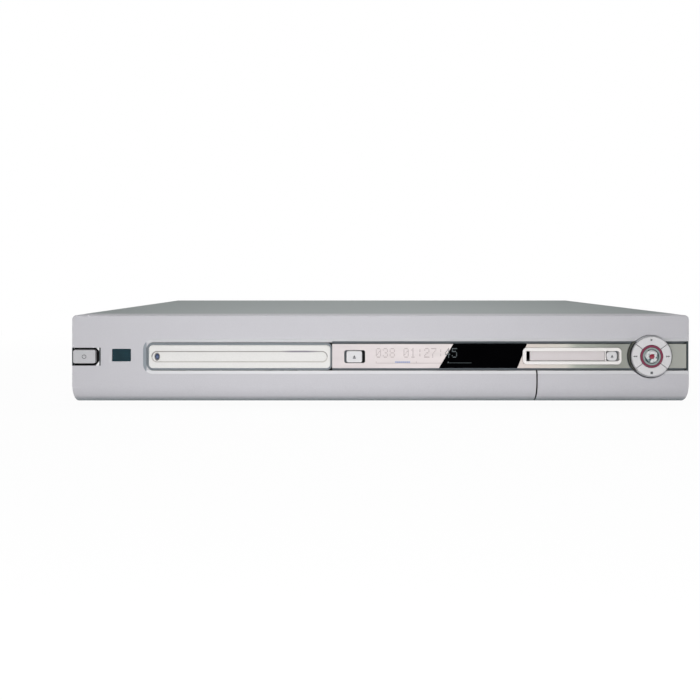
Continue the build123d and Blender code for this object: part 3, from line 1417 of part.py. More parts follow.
# Transformer and capacitors of the power supply
with BuildPart() as power_components:
    transformer = (-half_width + transformer_from_left, rear_boards[0] + transformer_after)
    core_x = around(transformer[0], transformer_size[0])
    core_y = around(transformer[1], transformer_core)
    block(core_x, core_y, (board_z[1], board_z[1] + transformer_size[2]))
    winding_x = around(transformer[0], transformer_size[0] - transformer_core)
    winding_y = around(transformer[1], transformer_size[1])
    block(winding_x, winding_y, (board_z[1], board_z[1] + transformer_size[2] - transformer_core / 2))
    for number in range(capacitor_count):
        x = -half_width + capacitor_from_left + number * capacitor_pitch
        capacitor_y = behind(cover_depth - capacitor_from_back)
        post(x, capacitor_y, (board_z[1], board_z[1] + capacitor_height), capacitor_radius)
save(power_components, "power_components")

# Screws: cover to rear panel, fan and sockets to rear panel, boards to their posts
with BuildPart() as screws:
    for x in (-half_width + cover_screw_inset, 0, half_width - cover_screw_inset):
        head_y = (behind(cover_depth), behind(cover_depth) + screw_head)
        rod(x, head_y, cover_top - cover_flange / 2, screw_head_radius)
    rear_heads = (behind(rear_plate_back), behind(rear_plate_back) + screw_head)
    hole_spread = fan_size / 2 - fan_screw_inset
    for side_x in (-1, 1):
        for side_z in (-1, 1):
            rod(fan_centre + side_x * hole_spread, rear_heads, fan_z + side_z * hole_spread, screw_head_radius)
    for x in scart_places:
        rod(x, rear_heads, scart_z[1] + scart_screw_rise, screw_head_radius)
    for x in (middle(rear_columns[0:2]), middle(rear_columns[1:3])):
        rod(x, rear_heads, middle(rear_rows), screw_head_radius - sheet / 2)
    for x, y in standoff_places:
        post(x, y, (board_z[1], board_z[1] + screw_head), screw_head_radius)
save(screws, "screws")
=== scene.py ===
import math

import bmesh
import bpy
from mathutils import Matrix, Vector


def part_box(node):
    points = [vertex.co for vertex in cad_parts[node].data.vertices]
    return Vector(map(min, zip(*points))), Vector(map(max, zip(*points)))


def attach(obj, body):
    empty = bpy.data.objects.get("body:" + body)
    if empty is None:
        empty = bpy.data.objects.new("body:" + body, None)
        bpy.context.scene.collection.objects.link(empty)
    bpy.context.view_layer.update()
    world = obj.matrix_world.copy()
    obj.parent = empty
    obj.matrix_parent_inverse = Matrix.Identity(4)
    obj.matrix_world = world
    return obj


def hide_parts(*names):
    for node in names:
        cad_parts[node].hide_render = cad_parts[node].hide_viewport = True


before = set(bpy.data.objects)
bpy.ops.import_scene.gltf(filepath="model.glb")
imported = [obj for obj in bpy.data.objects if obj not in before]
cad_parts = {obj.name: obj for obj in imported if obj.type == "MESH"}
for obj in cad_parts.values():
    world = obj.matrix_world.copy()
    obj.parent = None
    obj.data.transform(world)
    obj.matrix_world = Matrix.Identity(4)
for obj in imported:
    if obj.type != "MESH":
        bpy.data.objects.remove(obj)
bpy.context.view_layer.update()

# Camera
# A level product view from a little above the lid, straight at the faceplate. The lens looks along
# +Y and the frame is shifted down, so uprights stay upright as they do in the picture.
view = bpy.data.cameras.new("product_camera")
view.lens = 41.19
view.sensor_width = 36.0
view.shift_x = -0.01
view.shift_y = -0.1072
view.clip_end = 100.0
camera = bpy.data.objects.new("product_camera", view)
camera.location = (-0.0166, -0.73195, 0.0944)
camera.rotation_euler = (math.radians(90), 0, 0)
bpy.context.scene.collection.objects.link(camera)
bpy.context.scene.camera = camera
bpy.context.scene.view_settings.view_transform = "Standard"


# Floor and studio light
# White paper under the case and soft boxes round it: a near one above the lens that is brightest on
# the faceplate's middle, a low strip in front, and weak fills from the sides and behind.
def linear(colour):
    """A '#rrggbb' sRGB colour as the linear RGBA that a socket takes."""
    parts = [int(colour[place:place + 2], 16) / 255 for place in (1, 3, 5)]
    return [part / 12.92 if part <= 0.04045 else ((part + 0.055) / 1.055) ** 2.4 for part in parts] + [1.0]


def node(tree, kind, settings=None, links=None):
    """Adds a node, sets its properties and sockets, and links outputs of other nodes to it."""
    made = tree.nodes.new(kind)
    for name, value in (settings or {}).items():
        if isinstance(name, int) or name in made.inputs:
            made.inputs[name].default_value = value
        else:
            setattr(made, name, value)
    for name, source in (links or {}).items():
        tree.links.new(source, made.inputs[name])
    return made


shadow_reach, white_reach = 0.28, 0.8       # metres from the middle: the shadow's end, then pure white
paper_size = 12.0
paper = bpy.data.materials.new("white_paper")
paper.use_nodes = True
tree = paper.node_tree
rays = node(tree, "ShaderNodeLightPath")
seen = node(tree, "ShaderNodeMath", {"operation": "MAXIMUM"},
            {0: rays.outputs["Is Camera Ray"], 1: rays.outputs["Is Glossy Ray"]})
place = node(tree, "ShaderNodeTexCoord")
away = node(tree, "ShaderNodeVectorMath", {"operation": "LENGTH"}, {0: place.outputs["Object"]})
faded = node(tree, "ShaderNodeMapRange", {"From Min": shadow_reach, "From Max": white_reach, "To Min": 0.96,
                                          "To Max": 1.0, "interpolation_type": "SMOOTHSTEP"},
             {"Value": away.outputs["Value"]})
share = node(tree, "ShaderNodeMath", {"operation": "MULTIPLY"}, {0: seen.outputs[0], 1: faded.outputs[0]})
glow = node(tree, "ShaderNodeEmission", {"Color": linear("#ffffff"), "Strength": 1.0})
sheet = tree.nodes["Principled BSDF"]
tone = node(tree, "ShaderNodeMix", {"data_type": "RGBA", 6: linear("#f0f0f0"), 7: linear("#fdfdfd")},
            {0: rays.outputs["Is Camera Ray"]})
tree.links.new(tone.outputs[2], sheet.inputs["Base Color"])
sheet.inputs["Roughness"].default_value = 0.9
sheet.inputs["Specular IOR Level"].default_value = 0.1
mixed = node(tree, "ShaderNodeMixShader", {}, {0: share.outputs[0], 1: sheet.outputs[0], 2: glow.outputs[0]})
tree.links.new(mixed.outputs[0], tree.nodes["Material Output"].inputs["Surface"])
floor_mesh = bmesh.new()
bmesh.ops.create_grid(floor_mesh, x_segments=1, y_segments=1, size=paper_size)
floor_data = bpy.data.meshes.new("floor")
floor_mesh.to_mesh(floor_data)
floor_mesh.free()
floor = bpy.data.objects.new("floor", floor_data)
floor.data.materials.append(paper)
bpy.context.scene.collection.objects.link(floor)

world = bpy.data.worlds.new("studio")
world.use_nodes = True
bpy.context.scene.world = world
tree = world.node_tree
rays = node(tree, "ShaderNodeLightPath")
seen = node(tree, "ShaderNodeMath", {"operation": "MAXIMUM"},
            {0: rays.outputs["Is Camera Ray"], 1: rays.outputs["Is Transmission Ray"]})
sky = node(tree, "ShaderNodeTexCoord")
height = node(tree, "ShaderNodeSeparateXYZ", {}, {0: sky.outputs["Generated"]})
dome = node(tree, "ShaderNodeMapRange", {"From Min": -0.1, "From Max": 0.7, "To Min": 0.25, "To Max": 0.18},
            {"Value": height.outputs["Z"]})
level = node(tree, "ShaderNodeMix", {"data_type": "FLOAT", 3: 1.0}, {0: seen.outputs[0], 2: dome.outputs[0]})
tree.nodes["Background"].inputs["Color"].default_value = linear("#ffffff")
tree.links.new(level.outputs[0], tree.nodes["Background"].inputs["Strength"])


def softbox(name, place, towards, size, watts, mirrored=True):
    """A rectangular area lamp that looks at a point, with or without its image in glossy pieces."""
    lamp = bpy.data.lights.new(name, "AREA")
    lamp.shape = "RECTANGLE"
    lamp.size, lamp.size_y = size
    lamp.energy = watts
    lit = bpy.data.objects.new(name, lamp)
    lit.visible_camera = False
    lit.visible_glossy = mirrored
    lit.location = place
    lit.rotation_euler = (Vector(towards) - Vector(place)).to_track_quat("-Z", "Y").to_euler()
    bpy.context.scene.collection.objects.link(lit)


softbox("front_box", (-0.06, -0.85, 0.68), (-0.02, -0.16, 0.03), (0.6, 0.25), 2.0)
softbox("low_box", (-0.04, -0.6, 0.012), (-0.04, -0.16, 0.03), (0.34, 0.02), 1.02, False)
softbox("top_box", (0.02, -0.02, 0.5), (0.02, -0.02, 0.06), (0.24, 0.16), 0.42)
softbox("left_box", (-1.7, 0.0, 0.5), (-0.1, 0.0, 0.03), (0.8, 0.7), 7.0)
softbox("right_box", (1.7, 0.0, 0.5), (0.1, 0.0, 0.03), (0.8, 0.7), 7.0)
softbox("back_box", (0.0, 1.7, 1.3), (0.0, 0.1, 0.03), (1.4, 0.7), 7.0)


# Faceplate and flap
# One injection moulding in ABS and the flap cut from the same face, both sprayed with silver
# lacquer. The lacquer covers what faces out; inside the band's recess the moulding is bare and
# painted darker as painted shade. Painted highlights and painted shade also lie on the slopes,
# the key recesses, the flap's joint and the underside of the roll.
def start(name, colour, roughness, **sockets):
    """A new material with its shader's plain values set. Returns the material, its tree and shader."""
    made = bpy.data.materials.new(name)
    made.use_nodes = True
    shader = made.node_tree.nodes["Principled BSDF"]
    shader.inputs["Base Color"].default_value = linear(colour)
    shader.inputs["Roughness"].default_value = roughness
    for socket, value in sockets.items():
        shader.inputs[socket.replace("_", " ")].default_value = value
    return made, made.node_tree, shader


def grain(tree, shader, size, height, rounding=0.0, detail=2.0):
    """Puts a fine relief on a finish: grains of a size and height in millimetres, on rounded edges."""
    place = node(tree, "ShaderNodeTexCoord")
    speckle = node(tree, "ShaderNodeTexNoise", {"Scale": 1000.0 / size, "Detail": detail, "Roughness": 0.55},
                   {"Vector": place.outputs["Object"]})
    relief = node(tree, "ShaderNodeBump", {"Strength": 1.0, "Distance": height / 1000},
                  {"Height": speckle.outputs["Fac"]})
    if rounding:
        edge = node(tree, "ShaderNodeBevel", {"samples": 6, "Radius": rounding / 1000})
        tree.links.new(edge.outputs["Normal"], relief.inputs["Normal"])
    tree.links.new(relief.outputs["Normal"], shader.inputs["Normal"])
    return place, speckle


def vary(tree, shader, fac, low, high):
    """Lets the colour run between two tones as a value goes from 0 to 1."""
    tone = node(tree, "ShaderNodeMix", {"data_type": "RGBA", 6: linear(low), 7: linear(high)}, {0: fac})
    tree.links.new(tone.outputs[2], shader.inputs["Base Color"])
    return tone


def dress(names, material):
    """Gives CAD nodes their finish."""
    for name in names:
        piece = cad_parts[name]
        if not piece.material_slots:
            piece.data.materials.append(material)
        for place in piece.material_slots:
            place.material = material


door_proud = 0.0005
face_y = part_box("tray_front")[0][1] + door_proud
lacquer, tree, shader = start("silver_lacquer_on_abs", "#c6c5ca", 0.55, Metallic=0.03, Coat_Weight=0.08,
                              Coat_Roughness=0.4, Specular_IOR_Level=0.35)
place, speckle = grain(tree, shader, 0.7, 0.0016, 0.3)
flakes = node(tree, "ShaderNodeMapRange", {"From Min": 0.35, "From Max": 0.65},
              {"Value": speckle.outputs["Fac"]})
silver = vary(tree, shader, flakes.outputs[0], "#c6c5ca", "#cbcacf")
axes = node(tree, "ShaderNodeSeparateXYZ", {}, {0: place.outputs["Object"]})


def between(tree, value, low, high, soft=0.0001):
    """1 where a value lies between two limits and 0 outside them, with a soft edge."""
    rise = node(tree, "ShaderNodeMapRange", {"From Min": low - soft / 2, "From Max": low + soft / 2},
                {"Value": value})
    fall = node(tree, "ShaderNodeMapRange", {"From Min": high - soft / 2, "From Max": high + soft / 2,
                                             "To Min": 1.0, "To Max": 0.0}, {"Value": value})
    mask = node(tree, "ShaderNodeMath", {"operation": "MULTIPLY"}, {0: rise.outputs[0], 1: fall.outputs[0]})
    return mask.outputs[0]


def coat(tree, below, tone, *masks):
    """Lays a tone over a colour where every mask is 1."""
    whole = masks[0]
    for mask in masks[1:]:
        whole = node(tree, "ShaderNodeMath", {"operation": "MULTIPLY"}, {0: whole, 1: mask}).outputs[0]
    return node(tree, "ShaderNodeMix", {"data_type": "RGBA", 7: linear(tone)}, {0: whole, 6: below}).outputs[2]


beyond = 1.0                                # metres, past every point of the object
end_x = 0.2169                              # the band stops just short of the faceplate's ends
band_low, band_high = 0.0269, 0.0476
tray_left = -0.1650
slope_front, slope_back = face_y + 0.0001, face_y + 0.00135
x, y, z = axes.outputs["X"], axes.outputs["Y"], axes.outputs["Z"]
colour = silver.outputs[2]
side = node(tree, "ShaderNodeMath", {"operation": "ABSOLUTE"}, {0: x})
middle = between(tree, side.outputs[0], -beyond, end_x)
# The slopes round the band get painted highlights, lighter than the face, the lower slope lightest
sloping = between(tree, y, slope_front, slope_back)
along_band = between(tree, x, tray_left, beyond)
colour = coat(tree, colour, "#e2e2e5", sloping, middle, along_band, between(tree, z, 0.0243, 0.0272))
colour = coat(tree, colour, "#d0d0d3", sloping, middle, along_band, between(tree, z, 0.0466, 0.0502))
# The slope at the tray's left turns away from the lamps and gets painted shade, a darker grey
colour = coat(tree, colour, "#9299a0", sloping, between(tree, x, tray_left - 0.003, tray_left),
              between(tree, z, 0.0262, 0.0478))
# Inside the band the moulding is bare, its grey darkened as painted shade in the recess, and beside
# the eject key the recess is painted near black as painted shade
colour = coat(tree, colour, "#70777c", between(tree, z, band_low, band_high), middle,
              between(tree, y, slope_back, beyond, 0.0003))
eject_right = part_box("eject_button")[1][0]
colour = coat(tree, colour, "#0d0f10", between(tree, x, eject_right - 0.0002, eject_right + 0.003),
              between(tree, z, 0.0320, 0.0417), between(tree, y, face_y + 0.0003, beyond))
# Painted shade: near black in the standby key's recess and in the joint beside the flap, and a
# darker grey on the roll's underside, fading out upwards
standby_right = -0.1995
colour = coat(tree, colour, "#040405", between(tree, x, -end_x, standby_right),
              between(tree, z, 0.0300, 0.0438), between(tree, y, face_y + 0.0005, beyond))
flap_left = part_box("front_flap")[0][0]
colour = coat(tree, colour, "#101214", between(tree, x, flap_left - 0.00096, flap_left + 0.00006),
              between(tree, z, -beyond, band_low))
roll_top, roll_fade = 0.0069, 0.0040
colour = coat(tree, colour, "#7b858a", between(tree, z, -beyond, roll_top, roll_fade))
tree.links.new(colour, shader.inputs["Base Color"])
dress(["front_panel", "front_flap"], lacquer)


# Cover and rear panel
# Folded sheet steel with a baked, finely textured grey paint. It fits behind the faceplate with a
# narrow joint; its side slots and the plain rear sheet have the same paint.
paint, tree, shader = start("textured_grey_paint_on_steel", "#8f9291", 0.5, Metallic=0.0, Coat_Weight=0.08,
                            Coat_Roughness=0.4)
place, speckle = grain(tree, shader, 0.9, 0.02, 0.4, 3.0)
clouds = node(tree, "ShaderNodeTexNoise", {"Scale": 9.0, "Detail": 1.0}, {"Vector": place.outputs["Object"]})
vary(tree, shader, clouds.outputs["Fac"], "#949d9d", "#a0a8a7")
dress(["top_cover", "rear_panel"], paint)


# Tray's door
# A pale silver lacquered moulding with a long round-ended groove along its middle. It sits proud of
# the band on the tray's front edge, and the gap round it is in shade.
door_low, door_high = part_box("tray_front")
groove_half = (door_high[0] - door_low[0]) / 2 - 0.0022
groove_round = 0.00365
groove_line = (0.00018, 0.0005)             # half the wall's width as drawn, without and with its fade
streak_x, streak_fade = (-0.0665, -0.0475), 0.008
door_middle = ((door_low[0] + door_high[0]) / 2, (door_low[2] + door_high[2]) / 2)
door_finish, tree, shader = start("pale_silver_lacquer", "#dedddb", 0.42, Metallic=0.03, Coat_Weight=0.2,
                                  Coat_Roughness=0.3)
place, speckle = grain(tree, shader, 0.6, 0.003, 0.3)
axes = node(tree, "ShaderNodeSeparateXYZ", {}, {0: place.outputs["Object"]})
along = node(tree, "ShaderNodeMath", {"operation": "SUBTRACT", 1: door_middle[0]}, {0: axes.outputs["X"]})
along = node(tree, "ShaderNodeMath", {"operation": "ABSOLUTE"}, {0: along.outputs[0]})
along = node(tree, "ShaderNodeMath", {"operation": "SUBTRACT", 1: groove_half - groove_round},
             {0: along.outputs[0]})
along = node(tree, "ShaderNodeMath", {"operation": "MAXIMUM", 1: 0.0}, {0: along.outputs[0]})
up = node(tree, "ShaderNodeMath", {"operation": "SUBTRACT", 1: door_middle[1]}, {0: axes.outputs["Z"]})
reach = node(tree, "ShaderNodeCombineXYZ", {}, {0: along.outputs[0], 1: up.outputs[0]})
reach = node(tree, "ShaderNodeVectorMath", {"operation": "LENGTH"}, {0: reach.outputs[0]})
wall = node(tree, "ShaderNodeMath", {"operation": "SUBTRACT", 1: groove_round}, {0: reach.outputs["Value"]})
wall = node(tree, "ShaderNodeMath", {"operation": "ABSOLUTE"}, {0: wall.outputs[0]})
shade = node(tree, "ShaderNodeMapRange", {"From Min": groove_line[0], "From Max": groove_line[1],
                                          "To Min": 1.0, "To Max": 0.0}, {"Value": wall.outputs[0]})
x, z = axes.outputs["X"], axes.outputs["Z"]
base = node(tree, "ShaderNodeMapRange", {"From Min": 0.35, "From Max": 0.65},
            {"Value": speckle.outputs["Fac"]})
tone = vary(tree, shader, base.outputs[0], "#e3e2e0", "#e8e7e5").outputs[2]
# The groove's lower wall catches light and its upper wall is in shade, most of all in one short streak
tone = coat(tree, tone, "#c9c5c1", shade.outputs[0], between(tree, z, -beyond, door_middle[1]))
tone = coat(tree, tone, "#98938f", shade.outputs[0], between(tree, z, door_middle[1], beyond))
tone = coat(tree, tone, "#8b8590", between(tree, x, streak_x[0], streak_x[1], streak_fade),
            between(tree, z, door_middle[1] + 0.0031, door_middle[1] + 0.0042, 0.0006))
tree.links.new(tone, shader.inputs["Base Color"])
dress(["tray_front"], door_finish)


# Lamp lens in the groove
# A small oval window of dark blue acrylic, domed and polished, in a thin dull ring. It is pressed
# into the groove's left end and rides with the tray.
def piece(name, shape, finish, body, slot, sharp=30):
    """Turns a bmesh into a piece of the object that rides on a CAD body."""
    bmesh.ops.recalc_face_normals(shape, faces=shape.faces)
    data = bpy.data.meshes.new(name)
    shape.to_mesh(data)
    shape.free()
    for face in data.polygons:
        face.use_smooth = True
    data.set_sharp_from_angle(angle=math.radians(sharp))
    made = bpy.data.objects.new(name, data)
    made.data.materials.append(finish)
    bpy.context.scene.collection.objects.link(made)
    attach(made, body)
    return made


lens_low, lens_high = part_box("tray_lamp_lens")
lens_centre = Vector([(low + high) / 2 for low, high in zip(lens_low, lens_high)])
lens_half = (0.0014, 0.00055, 0.0021)
blue_lens, tree, shader = start("blue_acrylic", "#27324f", 0.08, Coat_Weight=0.6, Coat_Roughness=0.05)
place = node(tree, "ShaderNodeTexCoord")
shifted = node(tree, "ShaderNodeMapping", {"Location": (-lens_centre.x, -lens_low[1], -lens_centre.z)},
               {"Vector": place.outputs["Object"]})
fall = node(tree, "ShaderNodeVectorMath", {"operation": "LENGTH"}, {0: shifted.outputs[0]})
# The lens is painted lighter in its middle and darker towards its rim: a painted highlight on the dome
lens_highlight_fall = node(tree, "ShaderNodeMapRange", {"From Max": lens_half[2]}, {"Value": fall.outputs["Value"]})
vary(tree, shader, lens_highlight_fall.outputs[0], "#5a6c96", "#1b2338")
dome = bmesh.new()
bmesh.ops.create_uvsphere(dome, u_segments=32, v_segments=16, radius=1.0)
bmesh.ops.scale(dome, vec=lens_half, verts=dome.verts)
bmesh.ops.bisect_plane(dome, geom=dome.verts[:] + dome.edges[:] + dome.faces[:], plane_co=(0, 0, 0),
                       plane_no=(0, 1, 0), clear_outer=True)
rim_edges = [edge for edge in dome.edges if edge.is_boundary]
grown = bmesh.ops.extrude_edge_only(dome, edges=rim_edges)
bmesh.ops.translate(dome, vec=(0, 0.001, 0),
                    verts=[v for v in grown["geom"] if isinstance(v, bmesh.types.BMVert)])
bmesh.ops.holes_fill(dome, edges=[edge for edge in dome.edges if edge.is_boundary])
bmesh.ops.translate(dome, vec=(lens_centre.x, lens_low[1] + 0.00035, lens_centre.z), verts=dome.verts)
lens_dome = piece("lamp_lens_dome", dome, blue_lens, "tray", "lamp_blue", 60)
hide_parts("tray_lamp_lens")
dull_ring, tree, shader = start("dull_grey_ring", "#7d7873", 0.4, Metallic=0.3)
grain(tree, shader, 0.4, 0.004)
ring = bmesh.new()
profile = [ring.verts.new(point) for point in ((1.52, 0, 0), (1.62, -0.12, 0), (1.8, -0.12, 0), (1.9, 0.02, 0))]
lines = [ring.edges.new(pair) for pair in zip(profile, profile[1:])]
bmesh.ops.spin(ring, geom=profile + lines, cent=(0, 0, 0), axis=(0, 1, 0), angle=math.tau, steps=48,
               use_merge=True)
bmesh.ops.scale(ring, vec=(0.001, 0.001, 0.00146), verts=ring.verts)     # to metres, and oval as the lens
bmesh.ops.translate(ring, vec=(lens_centre.x, face_y + 0.00016, lens_centre.z), verts=ring.verts)
piece("lamp_lens_ring", ring, dull_ring, "tray", "tray_plastic", 60)


# Lip round the door
# A grey lip, pressed on the door's rim from behind. It closes the gap round the door, its grey a
# painted shade, the tone of the shaded gap, and clears the opening by a third of a millimetre, so it
# goes out with the tray.
gap_shade_grey, tree, shader = start("painted_gap_shade_grey", "#838a8f", 0.6)
place, speckle = grain(tree, shader, 0.5, 0.006)
vary(tree, shader, speckle.outputs["Fac"], "#7d8489", "#899095")
lip_reach, lip_reach_right = 0.0015, 0.0009
lip_width, lip_thickness, lip_corner = 0.0017, 0.0008, 0.0034
lip_low = (door_low[0] - lip_reach, door_low[2] - lip_reach)
lip_high = (door_high[0] + lip_reach_right, door_high[2] + lip_reach)
lip_middle = ((lip_low[0] + lip_high[0]) / 2, face_y + 0.0014, (lip_low[1] + lip_high[1]) / 2)
lip = bmesh.new()
bmesh.ops.create_grid(lip, x_segments=1, y_segments=1, size=0.5)
bmesh.ops.transform(lip, verts=lip.verts, matrix=(
    Matrix.Translation(lip_middle) @ Matrix.Rotation(math.radians(90), 4, "X")
    @ Matrix.Diagonal((lip_high[0] - lip_low[0], lip_high[1] - lip_low[1], 1, 1))))
bmesh.ops.bevel(lip, geom=lip.verts[:], offset=lip_corner, segments=6, profile=0.5, affect="VERTICES",
                material=-1)
bmesh.ops.inset_region(lip, faces=lip.faces[:], thickness=lip_width, use_boundary=True, use_even_offset=True)
bmesh.ops.delete(lip, geom=[face for face in lip.faces if len(face.verts) > 4], context="FACES")
grown = bmesh.ops.extrude_face_region(lip, geom=lip.faces[:])
bmesh.ops.translate(lip, vec=(0, lip_thickness, 0),
                    verts=[v for v in grown["geom"] if isinstance(v, bmesh.types.BMVert)])
piece("door_lip", lip, gap_shade_grey, "tray", "tray_plastic")


# Ends of the band and of the standby recess
# Small stops of painted shade: a dark one closes the strip's right end, another the recess's left
# end, and two bright corners of painted highlight and a dark bar frame the finger room beside the
# standby key.
def slab(shape, low, high):
    """Adds a small box with softened edges between two corners, in metres."""
    made = bmesh.ops.create_cube(shape, size=1.0)
    middle = Matrix.Translation([(a + b) / 2 for a, b in zip(low, high)])
    sides = Matrix.Diagonal([b - a for a, b in zip(low, high)] + [1])
    bmesh.ops.transform(shape, verts=made["verts"], matrix=middle @ sides)
    edges = {edge for vertex in made["verts"] for edge in vertex.link_edges}
    bmesh.ops.bevel(shape, geom=list(edges), offset=0.00012, segments=2, profile=0.5, affect="EDGES",
                    material=-1)


# Painted shade: the stops and the bar are a dark grey where the band's ends and the recess lie in shade
painted_shade_stop, tree, shader = start("painted_shade_dark_grey", "#3e4649", 0.5)
place, speckle = grain(tree, shader, 0.5, 0.004)
vary(tree, shader, speckle.outputs["Fac"], "#394144", "#444c4f")
stops_shape = bmesh.new()
slab(stops_shape, (0.2157, face_y + 0.0005, 0.02705), (0.2171, face_y + 0.0041, 0.04755))
slab(stops_shape, (-0.21745, face_y + 0.0004, 0.03055), (-0.21697, face_y + 0.0047, 0.04315))
slab(stops_shape, (-0.1983, face_y + 0.0003, 0.0305), (-0.1970, face_y + 0.0048, 0.0432))
piece("band_end_stops", stops_shape, painted_shade_stop, "case", "silver_plastic")
# Painted highlights: the two corners are near white where light catches the recess's bevels
highlight_corner_finish, tree, shader = start("painted_highlight_corner", "#ededee", 0.2, Coat_Weight=0.3)
grain(tree, shader, 0.5, 0.002)
corner_depth = 0.0044
corners = bmesh.new()
for outline in (((-0.2007, 0.0305), (-0.1982, 0.0305), (-0.1982, 0.0341), (-0.1990, 0.0327)),
                ((-0.2003, 0.0432), (-0.1982, 0.0432), (-0.1982, 0.0406))):
    corners.faces.new([corners.verts.new((across, face_y + 0.0004, up)) for across, up in outline])
grown = bmesh.ops.extrude_face_region(corners, geom=corners.faces[:])
bmesh.ops.translate(corners, vec=(0, corner_depth, 0),
                    verts=[v for v in grown["geom"] if isinstance(v, bmesh.types.BMVert)])
piece("standby_corners", corners, highlight_corner_finish, "case", "silver_plastic")


# Display strip
# A clear plastic strip with a half-mirrored layer behind it, glued in the band over the display. Its
# colour runs from a rosy white at the left to a grey olive under the dial, a painted reflection.
strip_low, strip_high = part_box("trim_band")
mirror, tree, shader = start("half_mirrored_strip", "#d8d2d2", 0.22, Metallic=0.15, Coat_Weight=0.5,
                             Coat_Roughness=0.1)
place, speckle = grain(tree, shader, 2.5, 0.002, 0.2, 0.0)
axes = node(tree, "ShaderNodeSeparateXYZ", {}, {0: place.outputs["Object"]})
along = node(tree, "ShaderNodeMapRange", {"From Min": strip_low[0], "From Max": strip_high[0]},
             {"Value": axes.outputs["X"]})
# Painted reflection: a ramp of colours along the strip
reflection_ramp = node(tree, "ShaderNodeValToRGB", {}, {0: along.outputs[0]})
stops = reflection_ramp.color_ramp.elements
stops[0].position, stops[0].color = 0.0, linear("#dcd3d4")
stops[1].position, stops[1].color = 1.0, linear("#a9aba4")
for where, colour in ((0.2, "#e6dddd"), (0.48, "#e2d8d7"), (0.56, "#ded3cb"), (0.66, "#d8d4cb"),
                      (0.69, "#a9aea4"), (0.80, "#8c8f87"), (0.86, "#9c9f97")):
    stop = stops.new(where)
    stop.color = linear(colour)
soft = node(tree, "ShaderNodeMapping", {"Scale": (40, 1, 260)}, {"Vector": place.outputs["Object"]})
streaks = node(tree, "ShaderNodeTexNoise", {"Scale": 1.0, "Detail": 1.0}, {"Vector": soft.outputs[0]})
dim = node(tree, "ShaderNodeMapRange", {"From Min": 0.3, "From Max": 0.7, "To Min": 0.0, "To Max": 0.12},
           {"Value": streaks.outputs["Fac"]})
tree.links.new(coat(tree, reflection_ramp.outputs["Color"], "#a6a39f", dim.outputs[0]), shader.inputs["Base Color"])
dress(["trim_band"], mirror)


# Window of the display
# A leaning pane of black smoked acrylic, polished and flush with the strip, so that only lit dots
# show through it.
smoked, tree, shader = start("black_smoked_acrylic", "#010102", 0.2, Specular_IOR_Level=0.01)
place = node(tree, "ShaderNodeTexCoord")
cloud = node(tree, "ShaderNodeTexNoise", {"Scale": 60.0, "Detail": 1.0}, {"Vector": place.outputs["Object"]})
vary(tree, shader, cloud.outputs["Fac"], "#000001", "#020203")
dress(["display_window"], smoked)


# Digits and lines of the display
# The dot-matrix lamps behind the strip, each dot a small square. Through the half mirror they look
# like pale grey print, and over the smoked pane they glow a little.
print_thickness = 0.00005


def printed(name, shape, front, finish, body, slot):
    """Gives a flat drawing in the XZ plane a print's thickness and sets it on a surface."""
    grown = bmesh.ops.extrude_face_region(shape, geom=shape.faces[:])
    bmesh.ops.translate(shape, vec=(0, -print_thickness, 0),
                        verts=[v for v in grown["geom"] if isinstance(v, bmesh.types.BMVert)])
    bmesh.ops.translate(shape, vec=(0, front, 0), verts=shape.verts)
    return piece(name, shape, finish, body, slot)


def tile(shape, x, z, width, height, turn=0.0):
    """Adds a small upright rectangle to a flat drawing."""
    made = bmesh.ops.create_grid(shape, x_segments=1, y_segments=1, size=0.5)
    place = (Matrix.Translation((x, 0, z)) @ Matrix.Rotation(turn, 4, "Y")
             @ Matrix.Rotation(math.radians(90), 4, "X") @ Matrix.Diagonal((width, height, 1, 1)))
    bmesh.ops.transform(shape, matrix=place, verts=made["verts"])


digit_rows = {"0": "01110 10001 10011 10101 11001 10001 01110",
              "1": "00100 01100 00100 00100 00100 00100 01110",
              "2": "01110 10001 00001 00110 01000 10000 11111",
              "3": "01110 10001 00001 00110 00001 10001 01110",
              "4": "00010 00110 01010 10010 11111 00010 00010",
              "5": "11111 10000 11110 00001 00001 10001 01110",
              "7": "11111 00001 00010 00100 01000 01000 01000",
              "8": "01110 10001 10001 01110 10001 10001 01110",
              ":": "00000 00100 00100 00000 00100 00100 00000"}
first_dot = (-0.0030, 0.0425)
digit_pitch = 0.00487
dot_pitch = (0.00075, 0.00100)
dot_size = (0.00060, 0.00074)
window_cell = 10                            # the sign from which the figures stand over the smoked pane
strip_front = strip_low[1]
pale_print, tree, shader = start("dots_seen_through_mirror", "#a79c9d", 0.5)
grain(tree, shader, 0.5, 0.002)
lit_print, tree, shader = start("dots_on_smoked_pane", "#525a5c", 0.5, Emission_Color=linear("#8f989c"),
                                Emission_Strength=0.05)
grain(tree, shader, 0.5, 0.002)
on_strip = bmesh.new()
on_pane = bmesh.new()
for cell, sign in enumerate("038 01:27:45"):
    if sign == " ":
        continue
    target = on_pane if cell >= window_cell else on_strip
    for row, dots in enumerate(digit_rows[sign].split()):
        for column, dot in enumerate(dots):
            if dot == "1":
                tile(target, first_dot[0] + cell * digit_pitch + column * dot_pitch[0],
                     first_dot[1] - row * dot_pitch[1], *dot_size)
